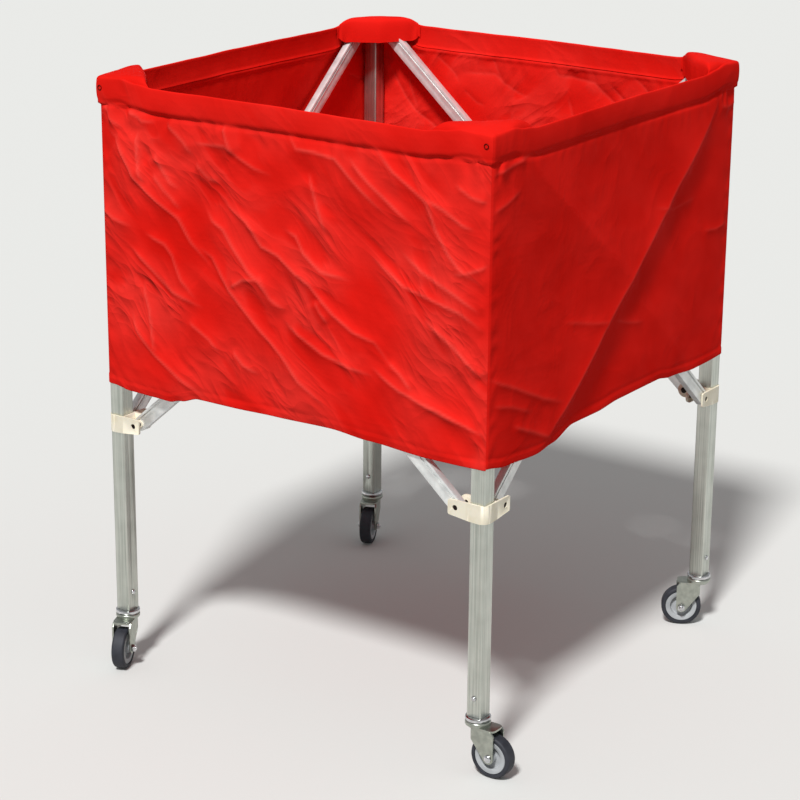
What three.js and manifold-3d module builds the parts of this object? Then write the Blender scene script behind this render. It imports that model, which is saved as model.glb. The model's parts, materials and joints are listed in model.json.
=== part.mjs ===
// Folding ball cart: four square legs on swivel casters, joined on each side by a pair of crossed
// scissor bars, with an open cloth bag hung inside the rim. Millimetres, +Z up, floor at z = 0.
import * as THREE from 'three';
import { mergeVertices } from 'three/addons/utils/BufferGeometryUtils.js';
import Module from 'manifold-3d';

const wasm = await Module();
wasm.setup();

// Driving dimensions of the frame
const CORNERS = ['front_left', 'front_right', 'back_right', 'back_left'];
const SIDES = ['front', 'right', 'back', 'left'];
const FRAME_WIDTH = 690; // outside of one leg to the outside of the next
const BOX_CENTRE = [20.5, -20]; // the trailing casters put the bounding box off the frame's centre
const POST = { width: 25, wall: 1.5, corner: 2.5, bottom: 90, top: 931 };
const PIVOT = { out: 35.5, low: 404, high: 920, radius: 3, hole: 3.5 };
const BAR = { height: 22, thickness: 11, outer: -12.5, inner: 0.5, wall: 1.3 };
const GROOVE = { width: 2.6, depth: 1.7, up: 6 };

// Moulded corner brackets: a sleeve round the leg and a pair of ears along each side
const BRACKET = {
  face: 16, wall: 3.1, corner: 10, ear: 47.5, innerEar: 46, tip: 3, heel: 6, top: 11.5, bottom: -16,
  earBottom: -11.5, capTop: 13.6, capUnder: 11.4, bossRadius: 6, recess: 4.2, recessDepth: 1.8,
};
const SLIDE_GAP = 0.5; // between a sliding bracket and its leg
const SEAT_GAP = 0.35; // between a top bracket and its leg
const BOSS_GAP = 0.4; // between a spacer boss and the bar beside it
const HEAD_GAP = 0.3; // under the heads that close on moving pieces

// Rivets
const STEM_RIVET = { z: 119, radius: 2.4, hole: 2.8, head: 4, height: 2 };
const CENTRE_RIVET = { head: 6, height: 2, washer: 6.5 };
const SLIDER_RIVET = { head: 5, height: 2 };

// Casters
const HEADINGS = [-67.5, 0, 210, -67.5]; // the way each wheel trails, in degrees from +X
const CASTER = { trail: 27, wheelRadius: 32.5 };
const RACE = { radius: 19, top: 89.7, under: 83.6, lowTop: 82.8, lowUnder: 76 };
const PLUG = { width: 21.3, top: 127, chamfer: 3, edge: 0.4 };
const KINGPIN = { radius: 4.5, hole: 5.2, head: 7, headTop: 72.4, headUnder: 69 };
const FORK = { plate: 3, cheek: 2.5, inside: 12.6, back: -2.5, front: 35, knee: 57, end: 8.5, corner: 9 };
const AXLE = { radius: 3.6, hole: 4, head: 6, headHeight: 3.2, nut: 6.4, nutHeight: 4.4, tip: 0.8 };
const HUB = { radius: 8, half: 12, web: 3, ringIn: 18.3, ringOut: 25.6, ringHalf: 9.2 };
const TYRE = { inner: 26, half: 10, shoulder: 3.5 };

// Cloth bag
const BAG = {
  outer: 350.5, wall: 1.5, hem: 464, rim: 937, corner: 6, bandHeight: 35, hemHeight: 11, fold: 0.9,
};
const CAP = { leg: 112, sheet: 1.6, middle: 904, bars: 912, ends: 922 };
const FLOOR = { z: 469, thickness: 1.5, cut: 180, gap: 0.4 };

// Steps round a tyre, a wheel or race, and a pin. three.js gives each arc of a shape twice its segments.
const STEPS = { tyre: 26, wheel: 14, pin: 8 };
const SEGMENTS = { corner: 1, edge: 2, ear: 2, hole: 4 };

const postCentre = (FRAME_WIDTH - POST.width) / 2;
const pivotSpan = 2 * (postCentre - PIVOT.out);
const pivotRise = PIVOT.high - PIVOT.low;
const barLength = Math.hypot(pivotSpan, pivotRise);
const barAngle = Math.atan2(pivotRise, pivotSpan);

const finish = (color, roughness, metalness) => new THREE.MeshStandardMaterial({ color, roughness, metalness });
const ALUMINIUM = finish(0xb9bdb9, 0.35, 1);
const BRIGHT_STEEL = finish(0xc8cac8, 0.2, 1);
const ZINC_STEEL = finish(0x9fa39b, 0.35, 1);
const IVORY_NYLON = finish(0xe9e2cc, 0.5, 0);
const BLACK_RUBBER = finish(0x1b1c22, 0.75, 0);
const GREY_NYLON = finish(0x9a9ea0, 0.55, 0);
const RED_CLOTH = finish(0xd8201a, 0.6, 0);

// A three.js geometry as a solid that can be joined and cut
function solid(geometry) {
  const bare = geometry.clone();
  bare.deleteAttribute('normal');
  bare.deleteAttribute('uv');
  const merged = mergeVertices(bare, 1e-4);
  const triVerts = new Uint32Array(merged.index.array);
  const vertProperties = merged.attributes.position.array;
  return new wasm.Manifold(new wasm.Mesh({ numProp: 3, vertProperties, triVerts }));
}

function join(...geometries) {
  return geometries.map(solid).reduce((whole, piece) => whole.add(piece));
}

function cut(body, ...geometries) {
  return geometries.map(solid).reduce((rest, tool) => rest.subtract(tool), body);
}

function geometryOf(body) {
  const { vertProperties, triVerts } = body.getMesh();
  const geometry = new THREE.BufferGeometry();
  geometry.setAttribute('position', new THREE.BufferAttribute(vertProperties, 3));
  geometry.setIndex(new THREE.BufferAttribute(triVerts, 1));
  const flat = geometry.toNonIndexed();
  flat.computeVertexNormals();
  return flat;
}

function mesh(name, geometry, material) {
  const made = new THREE.Mesh(geometry, material);
  made.name = name;
  return made;
}

// A square with rounded corners, centred on the origin
function roundedSquare(half, radius) {
  const flat = half - radius;
  const shape = new THREE.Shape();
  shape.absarc(flat, flat, radius, 0, Math.PI / 2);
  shape.absarc(-flat, flat, radius, Math.PI / 2, Math.PI);
  shape.absarc(-flat, -flat, radius, Math.PI, 1.5 * Math.PI);
  shape.absarc(flat, -flat, radius, 1.5 * Math.PI, 2 * Math.PI);
  shape.closePath();
  return shape;
}

function prism(shape, low, high, curveSegments = SEGMENTS.edge) {
  const geometry = new THREE.ExtrudeGeometry(shape, { depth: high - low, bevelEnabled: false, curveSegments });
  return geometry.translate(0, 0, low);
}

// An outline drawn as (along, up) and extruded across the wall, for a wall that runs along x or along y
const basis = (...axes) => new THREE.Matrix4().makeBasis(...axes.map((axis) => new THREE.Vector3(...axis)));
const WALL_AXES = {
  x: basis([1, 0, 0], [0, 0, 1], [0, -1, 0]),
  y: basis([0, 1, 0], [0, 0, 1], [1, 0, 0]),
};

function acrossWall(wall, shape, from, to, curveSegments = SEGMENTS.ear) {
  const geometry = wall === 'x' ? prism(shape, -to, -from, curveSegments) : prism(shape, from, to, curveSegments);
  return geometry.applyMatrix4(WALL_AXES[wall]);
}

function disc(along, up, radius) {
  const shape = new THREE.Shape();
  shape.absarc(along, up, radius, 0, 2 * Math.PI);
  return shape;
}

// A round bar across the wall, which is a pin, a boss or the tool that drills a hole
function hole(wall, along, up, radius, from, to) {
  return acrossWall(wall, disc(along, up, radius), from, to, SEGMENTS.hole);
}

function polygon(...points) {
  return new THREE.Shape(points.map(([x, y]) => new THREE.Vector2(x, y)));
}

// A turned piece on the z axis, from its profile as [radius, height] points
function turned(profile, steps = STEPS.pin) {
  return new THREE.LatheGeometry(profile.map(([r, z]) => new THREE.Vector2(r, z)), steps).rotateX(Math.PI / 2);
}

// The same piece laid along the y axis, and along the x axis
const turnedOnY = (profile, steps) => turned(profile, steps).rotateX(-Math.PI / 2);
const turnedOnX = (profile, steps) => turned(profile, steps).rotateY(Math.PI / 2);

function post() {
  const section = roundedSquare(POST.width / 2, POST.corner);
  section.holes.push(roundedSquare(POST.width / 2 - POST.wall, POST.corner - POST.wall));
  const tube = join(prism(section, POST.bottom, POST.top, SEGMENTS.corner));
  return geometryOf(cut(tube, hole('y', 0, STEM_RIVET.z, STEM_RIVET.hole, -POST.width, POST.width)));
}

// One pair of ears with its spacer boss. The boss fills the half of the fork that the bar leaves free.
function ears(wall, bossSide) {
  const { face, wall: thick, ear, innerEar, tip, heel, top, bottom, earBottom, bossRadius } = BRACKET;
  const inside = face - thick;
  const outerEar = polygon(
    [0, bottom], [heel, bottom], [ear - tip, earBottom], [ear, earBottom + tip], [ear, top - tip], [ear - tip, top],
    [0, top],
  );
  const round = new THREE.Shape();
  round.moveTo(0, top);
  round.lineTo(innerEar - top, top);
  round.absarc(innerEar - top, 0, top, Math.PI / 2, -Math.PI / 2, true);
  round.lineTo(0, -top);
  round.closePath();
  const outerBarEnd = BAR.outer + BAR.thickness;
  const boss = bossSide === 'inner' ? [outerBarEnd + BOSS_GAP, inside + 1] : [-inside - 1, BAR.inner - BOSS_GAP];
  return [
    acrossWall(wall, outerEar, -face, -inside),
    acrossWall(wall, round, inside, face),
    hole(wall, PIVOT.out, 0, bossRadius, ...boss),
  ];
}

// The sleeve's outline, with the leg's outside corner wrapped in one large round
function sleeve(low, high) {
  const { face, corner } = BRACKET;
  const shape = new THREE.Shape();
  shape.moveTo(face, face);
  shape.lineTo(-face, face);
  shape.lineTo(-face, -face + corner);
  shape.absarc(-face + corner, -face + corner, corner, Math.PI, 1.5 * Math.PI);
  shape.lineTo(face, -face);
  shape.closePath();
  return prism(shape, low, high, SEGMENTS.ear);
}

// Material is taken off under each pair of ears, so that the lower edge rises from the corner to the ear ends
function underCuts() {
  const { ear, tip, heel, bottom, earBottom, face } = BRACKET;
  const wedge = polygon(
    [heel, bottom - 1], [ear + 1, bottom - 1], [ear + 1, earBottom], [ear - tip, earBottom], [heel, bottom],
  );
  return ['x', 'y'].map((wall) => acrossWall(wall, wedge, -face - 1, face + 1));
}

function bracketBody(low, high, bosses) {
  const body = join(sleeve(low, high), ...ears('x', bosses.x), ...ears('y', bosses.y));
  return cut(body, ...underCuts());
}

// The bracket that slides on the leg: it carries the rising bar's foot on its x side, in the inner
// plane, and the falling bar's foot on its y side, in the outer plane.
function slider() {
  const { face, bottom, top, recess, recessDepth } = BRACKET;
  const bore = prism(roundedSquare(POST.width / 2 + SLIDE_GAP, POST.corner), bottom - 2, top + 2, SEGMENTS.corner);
  const holes = ['x', 'y'].flatMap((wall) => [
    hole(wall, PIVOT.out, 0, PIVOT.hole, -face - 1, face + 1),
    hole(wall, PIVOT.out, 0, recess, -face - 1, -face + recessDepth),
  ]);
  return geometryOf(cut(bracketBody(bottom, top, { x: 'outer', y: 'inner' }), bore, ...holes));
}

// The fixed bracket on top of the leg, closed over the tube's end. Its pivot pins are fused with it.
function topBracket() {
  const { face, wall, bottom, capTop, capUnder } = BRACKET;
  const bore = prism(roundedSquare(POST.width / 2 + SEAT_GAP, POST.corner), bottom - 2, capUnder, SEGMENTS.corner);
  const body = cut(bracketBody(bottom, capTop, { x: 'inner', y: 'outer' }), bore);
  const reach = face - wall + 1;
  const pins = ['x', 'y'].map((side) => hole(side, PIVOT.out, 0, PIVOT.radius, -reach, reach));
  return geometryOf(body.add(join(...pins)));
}

// A scissor bar lying along x, with its middle at the origin and its outer face at y = 0
function scissorBar() {
  const half = BAR.height / 2;
  const outline = new THREE.Shape();
  outline.absarc(barLength / 2, 0, half, -Math.PI / 2, Math.PI / 2);
  outline.absarc(-barLength / 2, 0, half, Math.PI / 2, 1.5 * Math.PI);
  outline.closePath();
  const blank = join(acrossWall('x', outline, 0, BAR.thickness));

  const reach = barLength / 2 + BAR.height;
  const boreTop = GROOVE.up - GROOVE.width / 2 - BAR.wall;
  const band = (low, high, from, to) =>
    acrossWall('x', polygon([-reach, low], [reach, low], [reach, high], [-reach, high]), from, to);
  const grooves = [[-1, GROOVE.depth], [BAR.thickness - GROOVE.depth, BAR.thickness + 1]].map(([from, to]) =>
    band(GROOVE.up - GROOVE.width / 2, GROOVE.up + GROOVE.width / 2, from, to));
  const bore = band(-half + BAR.wall, boreTop, BAR.wall, BAR.thickness - BAR.wall);
  const holes = [-barLength / 2, 0, barLength / 2].map((x) => hole('x', x, 0, PIVOT.hole, -1, BAR.thickness + 1));
  return geometryOf(cut(blank, bore, ...grooves, ...holes));
}

// Domed head, shank, nylon washer between the two bars, and the closed head
function centreRivet() {
  const { head, height, washer } = CENTRE_RIVET;
  const outside = BAR.outer - HEAD_GAP;
  const inside = BAR.inner + BAR.thickness + HEAD_GAP;
  const washerFrom = BAR.outer + BAR.thickness + HEAD_GAP;
  const washerTo = BAR.inner - HEAD_GAP;
  return turnedOnY([
    [0, outside - height], [head * 0.6, outside - height * 0.75], [head, outside],
    [PIVOT.radius, outside], [PIVOT.radius, washerFrom], [washer, washerFrom], [washer, washerTo],
    [PIVOT.radius, washerTo], [PIVOT.radius, inside], [head, inside], [head * 0.6, inside + height * 0.75],
    [0, inside + height],
  ]);
}

// The slider's pivot rivet, sunk in the outer ear and headed on the inner one
function sliderRivet() {
  const { head, height } = SLIDER_RIVET;
  const seat = BRACKET.face + HEAD_GAP;
  const end = -BRACKET.face + BRACKET.recessDepth;
  return [
    [0, end], [PIVOT.radius, end], [PIVOT.radius, seat], [head, seat], [head * 0.6, seat + height * 0.8],
    [0, seat + height],
  ];
}

function stemRivet() {
  const { radius, head, height } = STEM_RIVET;
  const seat = POST.width / 2 + HEAD_GAP;
  return turnedOnX([
    [0, -seat - height], [head * 0.6, -seat - height * 0.75], [head, -seat], [radius, -seat],
    [radius, seat], [head, seat], [head * 0.6, seat + height * 0.75], [0, seat + height],
  ]);
}

// Plug that fills the foot of the leg, upper race and kingpin
function casterStem() {
  const { radius, top, under } = RACE;
  const core = turned([
    [0, KINGPIN.headUnder], [KINGPIN.head - 1.5, KINGPIN.headUnder], [KINGPIN.head, KINGPIN.headTop],
    [KINGPIN.radius, KINGPIN.headTop], [KINGPIN.radius, under], [radius - 1.5, under], [radius, under + 1.5],
    [radius, top - 2], [radius - 3, top], [0, top],
  ], STEPS.wheel);
  const half = PLUG.width / 2;
  const column = prism(roundedSquare(half, 0.8), top - 1, PLUG.top - PLUG.chamfer, SEGMENTS.corner);
  const across = [half - PLUG.chamfer, half - PLUG.edge].map((reach) => reach * Math.SQRT2);
  const tip = new THREE.CylinderGeometry(...across, PLUG.chamfer, 4).rotateX(Math.PI / 2).rotateZ(Math.PI / 4);
  tip.translate(0, 0, PLUG.top - PLUG.chamfer / 2 - 0.01);
  return geometryOf(cut(join(core, column, tip), hole('y', 0, STEM_RIVET.z, STEM_RIVET.hole, -half - 1, half + 1)));
}

// Pressed fork: lower race, top plate with rounded trailing corners, and two tapering cheeks
function fork() {
  const { plate, cheek, inside, back, front, knee, end, corner } = FORK;
  const side = inside + cheek;
  const plateTop = RACE.lowUnder + 0.5;
  const deck = new THREE.Shape();
  deck.moveTo(0, -side);
  deck.lineTo(front - corner, -side);
  deck.absarc(front - corner, -side + corner, corner, -Math.PI / 2, 0);
  deck.absarc(front - corner, side - corner, corner, 0, Math.PI / 2);
  deck.lineTo(0, side);
  deck.absarc(0, 0, side, Math.PI / 2, 1.5 * Math.PI);
  const race = turned([
    [0, RACE.lowUnder], [RACE.radius - 1.5, RACE.lowUnder], [RACE.radius, RACE.lowUnder + 1.5],
    [RACE.radius, RACE.lowTop - 2], [RACE.radius - 2, RACE.lowTop], [0, RACE.lowTop],
  ], STEPS.wheel);

  const axleZ = CASTER.wheelRadius;
  const cheekShape = new THREE.Shape();
  cheekShape.moveTo(back, plateTop - plate / 2);
  cheekShape.lineTo(back, knee);
  const [run, drop] = [CASTER.trail - back, knee - axleZ];
  const slope = Math.atan2(drop, run) + Math.asin(end / Math.hypot(drop, run));
  cheekShape.absarc(CASTER.trail, axleZ, end, 1.5 * Math.PI - slope, 2 * Math.PI);
  cheekShape.lineTo(CASTER.trail + end, plateTop - plate - corner / 2);
  cheekShape.lineTo(CASTER.trail + end - corner / 2, plateTop - plate / 2);
  cheekShape.closePath();
  const cheeks = [[inside, side], [-side, -inside]].map(([from, to]) => acrossWall('x', cheekShape, from, to));
  const body = join(prism(deck, plateTop - plate, plateTop), race, ...cheeks);
  return geometryOf(cut(
    body,
    prism(disc(0, 0, KINGPIN.hole), plateTop - plate - 1, RACE.lowTop + 1, SEGMENTS.hole),
    hole('x', CASTER.trail, axleZ, AXLE.hole, -side - 1, side + 1),
  ));
}

// Axle bolt with a domed head on one side and a hexagon nut on the other
function axle() {
  const side = FORK.inside + FORK.cheek + HEAD_GAP;
  const { radius, head, headHeight, nut, nutHeight, tip } = AXLE;
  const end = side + nutHeight + 2;
  const bolt = turnedOnY([
    [0, -side - headHeight], [head * 0.55, -side - headHeight * 0.85], [head, -side - tip], [head, -side],
    [radius, -side], [radius, end - 1], [radius - tip, end], [0, end],
  ]);
  const hexagon = turnedOnY([[0, side], [nut, side], [nut, side + nutHeight], [0, side + nutHeight]], 6);
  return geometryOf(join(bolt, hexagon)).translate(CASTER.trail, 0, CASTER.wheelRadius);
}

// Wheel centre: a bored hub, a thin web and the broad pale ring that carries the tyre
function wheelCentre() {
  const { radius, half, web, ringIn, ringOut, ringHalf } = HUB;
  const bore = AXLE.hole;
  const profile = [
    [bore, -half], [radius, -half], [radius, -web], [ringIn - 1, -web], [ringIn, -ringHalf], [ringOut, -ringHalf],
    [ringOut, ringHalf], [ringIn, ringHalf], [ringIn - 1, web], [radius, web], [radius, half], [bore, half],
    [bore, -half],
  ];
  return turnedOnY(profile, STEPS.wheel).translate(CASTER.trail, 0, CASTER.wheelRadius);
}

function tyre() {
  const { inner, half, shoulder } = TYRE;
  const outer = CASTER.wheelRadius;
  const profile = [
    [inner, -half], [outer - shoulder, -half], [outer, -half + shoulder], [outer, half - shoulder],
    [outer - shoulder, half], [inner, half], [inner, -half],
  ];
  return turnedOnY(profile, STEPS.tyre).translate(CASTER.trail, 0, outer);
}

function ring(outerHalf, innerHalf, low, high) {
  const section = roundedSquare(outerHalf, BAG.corner);
  section.holes.push(roundedSquare(innerHalf, BAG.corner - BAG.wall));
  return prism(section, low, high, SEGMENTS.corner);
}

// Sewn cap over one corner bracket: a flat triangle and the skirt that hangs from its long edge
function cornerCap() {
  const { leg, sheet, middle, bars, ends } = CAP;
  const corner = postCentre - BAG.outer + BAG.wall / 2;
  const triangle = polygon([corner, corner], [corner + leg, corner], [corner, corner + leg]);
  const half = leg / Math.SQRT2;
  const flap = polygon(
    [-half, BAG.rim], [-half, ends], [-half * 0.5, bars], [-half * 0.2, middle], [half * 0.2, middle],
    [half * 0.5, bars], [half, ends], [half, BAG.rim],
  );
  const skirt = acrossWall('x', flap, 0, sheet).rotateZ(-Math.PI / 4);
  const seam = corner + leg / 2 - sheet;
  return [prism(triangle, BAG.rim - sheet, BAG.rim), skirt.translate(seam, seam, 0)];
}

function bagShell() {
  const inside = BAG.outer - BAG.wall;
  const walls = ring(BAG.outer, inside, BAG.hem, BAG.rim);
  const rimBand = ring(BAG.outer + BAG.fold, inside, BAG.rim - BAG.bandHeight, BAG.rim);
  const hemBand = ring(BAG.outer + BAG.fold, inside, BAG.hem, BAG.hem + BAG.hemHeight);
  const caps = CORNERS.flatMap((_, index) =>
    cornerCap().map((piece) => piece.translate(-postCentre, -postCentre, 0).rotateZ((index * Math.PI) / 2)));
  return geometryOf(join(walls, rimBand, hemBand, ...caps));
}

// The floor's corners are cut off square to the diagonal, clear of the legs and the bars
function bagFloor() {
  const edge = BAG.outer - BAG.wall - FLOOR.gap;
  const start = edge - FLOOR.cut;
  const outline = polygon(
    [edge, start], [start, edge], [-start, edge], [-edge, start],
    [-edge, -start], [-start, -edge], [start, -edge], [edge, -start],
  );
  return prism(outline, FLOOR.z, FLOOR.z + FLOOR.thickness);
}

function addLeg(cart, index) {
  const corner = CORNERS[index];
  const leg = new THREE.Group();
  leg.rotation.z = (index * Math.PI) / 2;
  leg.position.set(-postCentre, -postCentre, 0).applyAxisAngle(new THREE.Vector3(0, 0, 1), leg.rotation.z);
  leg.add(mesh(`post_${corner}`, post(), ALUMINIUM));
  leg.add(mesh(`stem_rivet_${corner}`, stemRivet().translate(0, 0, STEM_RIVET.z), BRIGHT_STEEL));
  leg.add(mesh(`caster_stem_${corner}`, casterStem(), BRIGHT_STEEL));
  leg.add(mesh(`top_bracket_${corner}`, topBracket().translate(0, 0, PIVOT.high), IVORY_NYLON));
  leg.add(mesh(`slider_${corner}`, slider().translate(0, 0, PIVOT.low), IVORY_NYLON));
  const onX = turnedOnY(sliderRivet()).translate(PIVOT.out, 0, PIVOT.low);
  const onY = turnedOnX(sliderRivet()).translate(0, PIVOT.out, PIVOT.low);
  leg.add(mesh(`slider_rivet_${corner}_x`, onX, BRIGHT_STEEL));
  leg.add(mesh(`slider_rivet_${corner}_y`, onY, BRIGHT_STEEL));
  cart.add(leg);

  const caster = new THREE.Group();
  caster.position.copy(leg.position);
  caster.rotation.z = THREE.MathUtils.degToRad(HEADINGS[index]);
  caster.add(mesh(`fork_${corner}`, fork(), ZINC_STEEL));
  caster.add(mesh(`axle_${corner}`, axle(), BRIGHT_STEEL));
  caster.add(mesh(`wheel_${corner}`, wheelCentre(), GREY_NYLON));
  caster.add(mesh(`tyre_${corner}`, tyre(), BLACK_RUBBER));
  cart.add(caster);
}

// Each side holds a falling bar in the outer plane and a rising bar in the inner plane
function addScissors(cart, index) {
  const side = new THREE.Group();
  side.rotation.z = (index * Math.PI) / 2;
  side.position.set(-postCentre, -postCentre, 0).applyAxisAngle(new THREE.Vector3(0, 0, 1), side.rotation.z);
  const middle = new THREE.Vector3(postCentre, 0, (PIVOT.high + PIVOT.low) / 2);
  const falling = mesh(`outer_bar_${SIDES[index]}`, scissorBar(), ALUMINIUM);
  falling.rotation.y = barAngle;
  falling.position.copy(middle).setY(BAR.outer);
  const rising = mesh(`inner_bar_${SIDES[index]}`, scissorBar(), ALUMINIUM);
  rising.rotation.y = -barAngle;
  rising.position.copy(middle).setY(BAR.inner);
  const rivet = mesh(`centre_rivet_${SIDES[index]}`, centreRivet(), BRIGHT_STEEL);
  rivet.position.copy(middle);
  side.add(falling, rising, rivet);
  cart.add(side);
}

const cart = new THREE.Group();
cart.name = 'ball_cart';
const frame = new THREE.Group();
frame.position.set(-BOX_CENTRE[0], -BOX_CENTRE[1], 0);
for (let index = 0; index < CORNERS.length; index += 1) {
  addLeg(frame, index);
  addScissors(frame, index);
}
frame.add(mesh('bag_shell', bagShell(), RED_CLOTH));
frame.add(mesh('bag_floor', bagFloor(), RED_CLOTH));
cart.add(frame);

export default cart;
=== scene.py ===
"""Looks of the folding ball cart: square scissor frame, swivel casters and a hanging cloth bag.

Sizes are in millimetres in the classes and in metres in the meshes. Corners and sides are
numbered round the cart from the front left corner, and each side runs from its own corner to the next.
"""

import json
import logging
import math
from collections.abc import Callable
from dataclasses import dataclass
from enum import Enum

import bpy
import numpy as np
from mathutils import Matrix, Vector, noise

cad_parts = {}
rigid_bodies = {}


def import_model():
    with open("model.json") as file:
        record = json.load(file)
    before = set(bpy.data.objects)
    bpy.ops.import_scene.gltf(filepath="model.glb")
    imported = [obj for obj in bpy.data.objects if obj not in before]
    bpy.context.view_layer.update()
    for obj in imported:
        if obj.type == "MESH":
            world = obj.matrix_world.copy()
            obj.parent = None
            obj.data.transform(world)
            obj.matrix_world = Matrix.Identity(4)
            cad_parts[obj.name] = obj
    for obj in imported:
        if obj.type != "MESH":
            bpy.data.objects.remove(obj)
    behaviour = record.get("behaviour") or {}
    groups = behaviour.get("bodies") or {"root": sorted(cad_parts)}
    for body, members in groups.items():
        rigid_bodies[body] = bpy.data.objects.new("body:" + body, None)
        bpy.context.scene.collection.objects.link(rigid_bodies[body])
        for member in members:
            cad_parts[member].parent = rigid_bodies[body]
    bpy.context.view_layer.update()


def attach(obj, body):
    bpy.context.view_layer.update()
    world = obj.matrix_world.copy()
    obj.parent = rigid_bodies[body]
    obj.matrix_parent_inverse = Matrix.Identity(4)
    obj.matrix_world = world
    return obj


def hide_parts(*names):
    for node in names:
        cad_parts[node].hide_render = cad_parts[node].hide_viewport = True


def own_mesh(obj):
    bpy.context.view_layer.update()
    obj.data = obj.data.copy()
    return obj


Piece = bpy.types.Object
Material = bpy.types.Material
Socket = bpy.types.NodeSocket

LOG = logging.getLogger("ball_cart")
MM = 0.001
# The part's origin is under the middle of its box, and the frame's own middle is here
FRAME_MIDDLE = Vector((-20.5, 20.0, 0.0)) * MM
POST_CENTRE = 332.5
PIVOT_LOW, PIVOT_HIGH = 404.0, 920.0  # heights of the sliding and the fixed brackets' pivots
QUARTER = math.pi / 2


class Named(Enum):
    """A place on the cart, turned from the first one by as many quarters as its value."""

    @property
    def label(self) -> str:
        """The place's name in the CAD nodes and bodies."""
        return self.name.lower()

    @property
    def turn(self) -> Matrix:
        """The turn round the cart's middle."""
        return Matrix.Translation(FRAME_MIDDLE) @ Matrix.Rotation(self.value * QUARTER, 4, "Z")


class Corner(Named):
    """The cart's corners, in order round the cart."""

    FRONT_LEFT = 0
    FRONT_RIGHT = 1
    BACK_RIGHT = 2
    BACK_LEFT = 3

    def place(self) -> Matrix:
        """Moves a piece made round the first leg's axis to this corner, with its ears along both sides."""
        return self.turn @ Matrix.Translation(Vector((-1, -1, 0)) * POST_CENTRE * MM)


class Side(Named):
    """The cart's sides, each running from the corner of the same number to the next one."""

    FRONT = 0
    RIGHT = 1
    BACK = 2
    LEFT = 3


# Finishes


def linear(hex_colour: str) -> tuple[float, float, float, float]:
    """Turns an sRGB hex colour to linear values.

    Args:
        hex_colour: Six hexadecimal digits, with no sign in front.

    Returns:
        Red, green, blue and an alpha of 1, in Blender's linear space.
    """
    values = [int(hex_colour[i : i + 2], 16) / 255 for i in (0, 2, 4)]
    return (*(v / 12.92 if v <= 0.04045 else ((v + 0.055) / 1.055) ** 2.4 for v in values), 1.0)


class Nodes:
    """A material's node tree, with one way to add a node."""

    def __init__(self, name: str) -> None:
        """Starts an empty material with its object coordinates.

        Args:
            name: The material's name.
        """
        self.material = bpy.data.materials.new(name)
        self.material.use_nodes = True
        self.tree = self.material.node_tree
        self.tree.nodes.clear()
        self.where = self.add("TexCoord").outputs["Object"]

    def add(self, kind: str, settings: dict | None = None, inputs: dict | None = None) -> bpy.types.Node:
        """Adds a node with its settings and its inputs.

        Args:
            kind: The node's type name, without its first word.
            settings: The node's own properties, and a colour ramp's stops: places from 0 to 1 with hex colours.
            inputs: Values or output sockets, by input name or number.

        Returns:
            The new node.
        """
        node = self.tree.nodes.new("ShaderNode" + kind)
        settings = dict(settings or {})
        for place, (stop, colour) in enumerate(settings.pop("stops", ())):
            element = node.color_ramp.elements[place]
            element.position, element.color = stop, linear(colour)
        for key, value in settings.items():
            setattr(node, key, value)
        for key, value in (inputs or {}).items():
            if isinstance(value, Socket):
                self.tree.links.new(value, node.inputs[key])
            else:
                node.inputs[key].default_value = value
        return node

    def surface(self, **inputs: object) -> Material:
        """Adds the shader and the output.

        Args:
            inputs: The shader's values and sockets, with an underscore for each space of an input's name.

        Returns:
            The finished material.
        """
        shader = self.add("BsdfPrincipled", inputs={key.replace("_", " "): value for key, value in inputs.items()})
        self.add("OutputMaterial", inputs={"Surface": shader.outputs["BSDF"]})
        return self.material

    def mottled(self, pattern: Socket, stops: tuple, roughness: tuple, relief: tuple, **others: object) -> Material:
        """Lets one pattern drive the colour and the roughness, and a relief the normal.

        Args:
            pattern: The pattern.
            stops: Two places in the pattern with their hex colours.
            roughness: The least and the greatest roughness.
            relief: The relief's pattern, its strength and its depth in metres.
            others: The shader's other inputs.

        Returns:
            The finished material.
        """
        colour = self.add("ValToRGB", {"stops": stops}, {"Fac": pattern}).outputs["Color"]
        gloss = self.add("MapRange", inputs={0: pattern, 3: roughness[0], 4: roughness[1]}).outputs[0]
        raised = self.add("Bump", inputs=dict(zip(("Height", "Strength", "Distance"), relief))).outputs[0]
        return self.surface(Base_Color=colour, Roughness=gloss, Normal=raised, **others)


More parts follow.
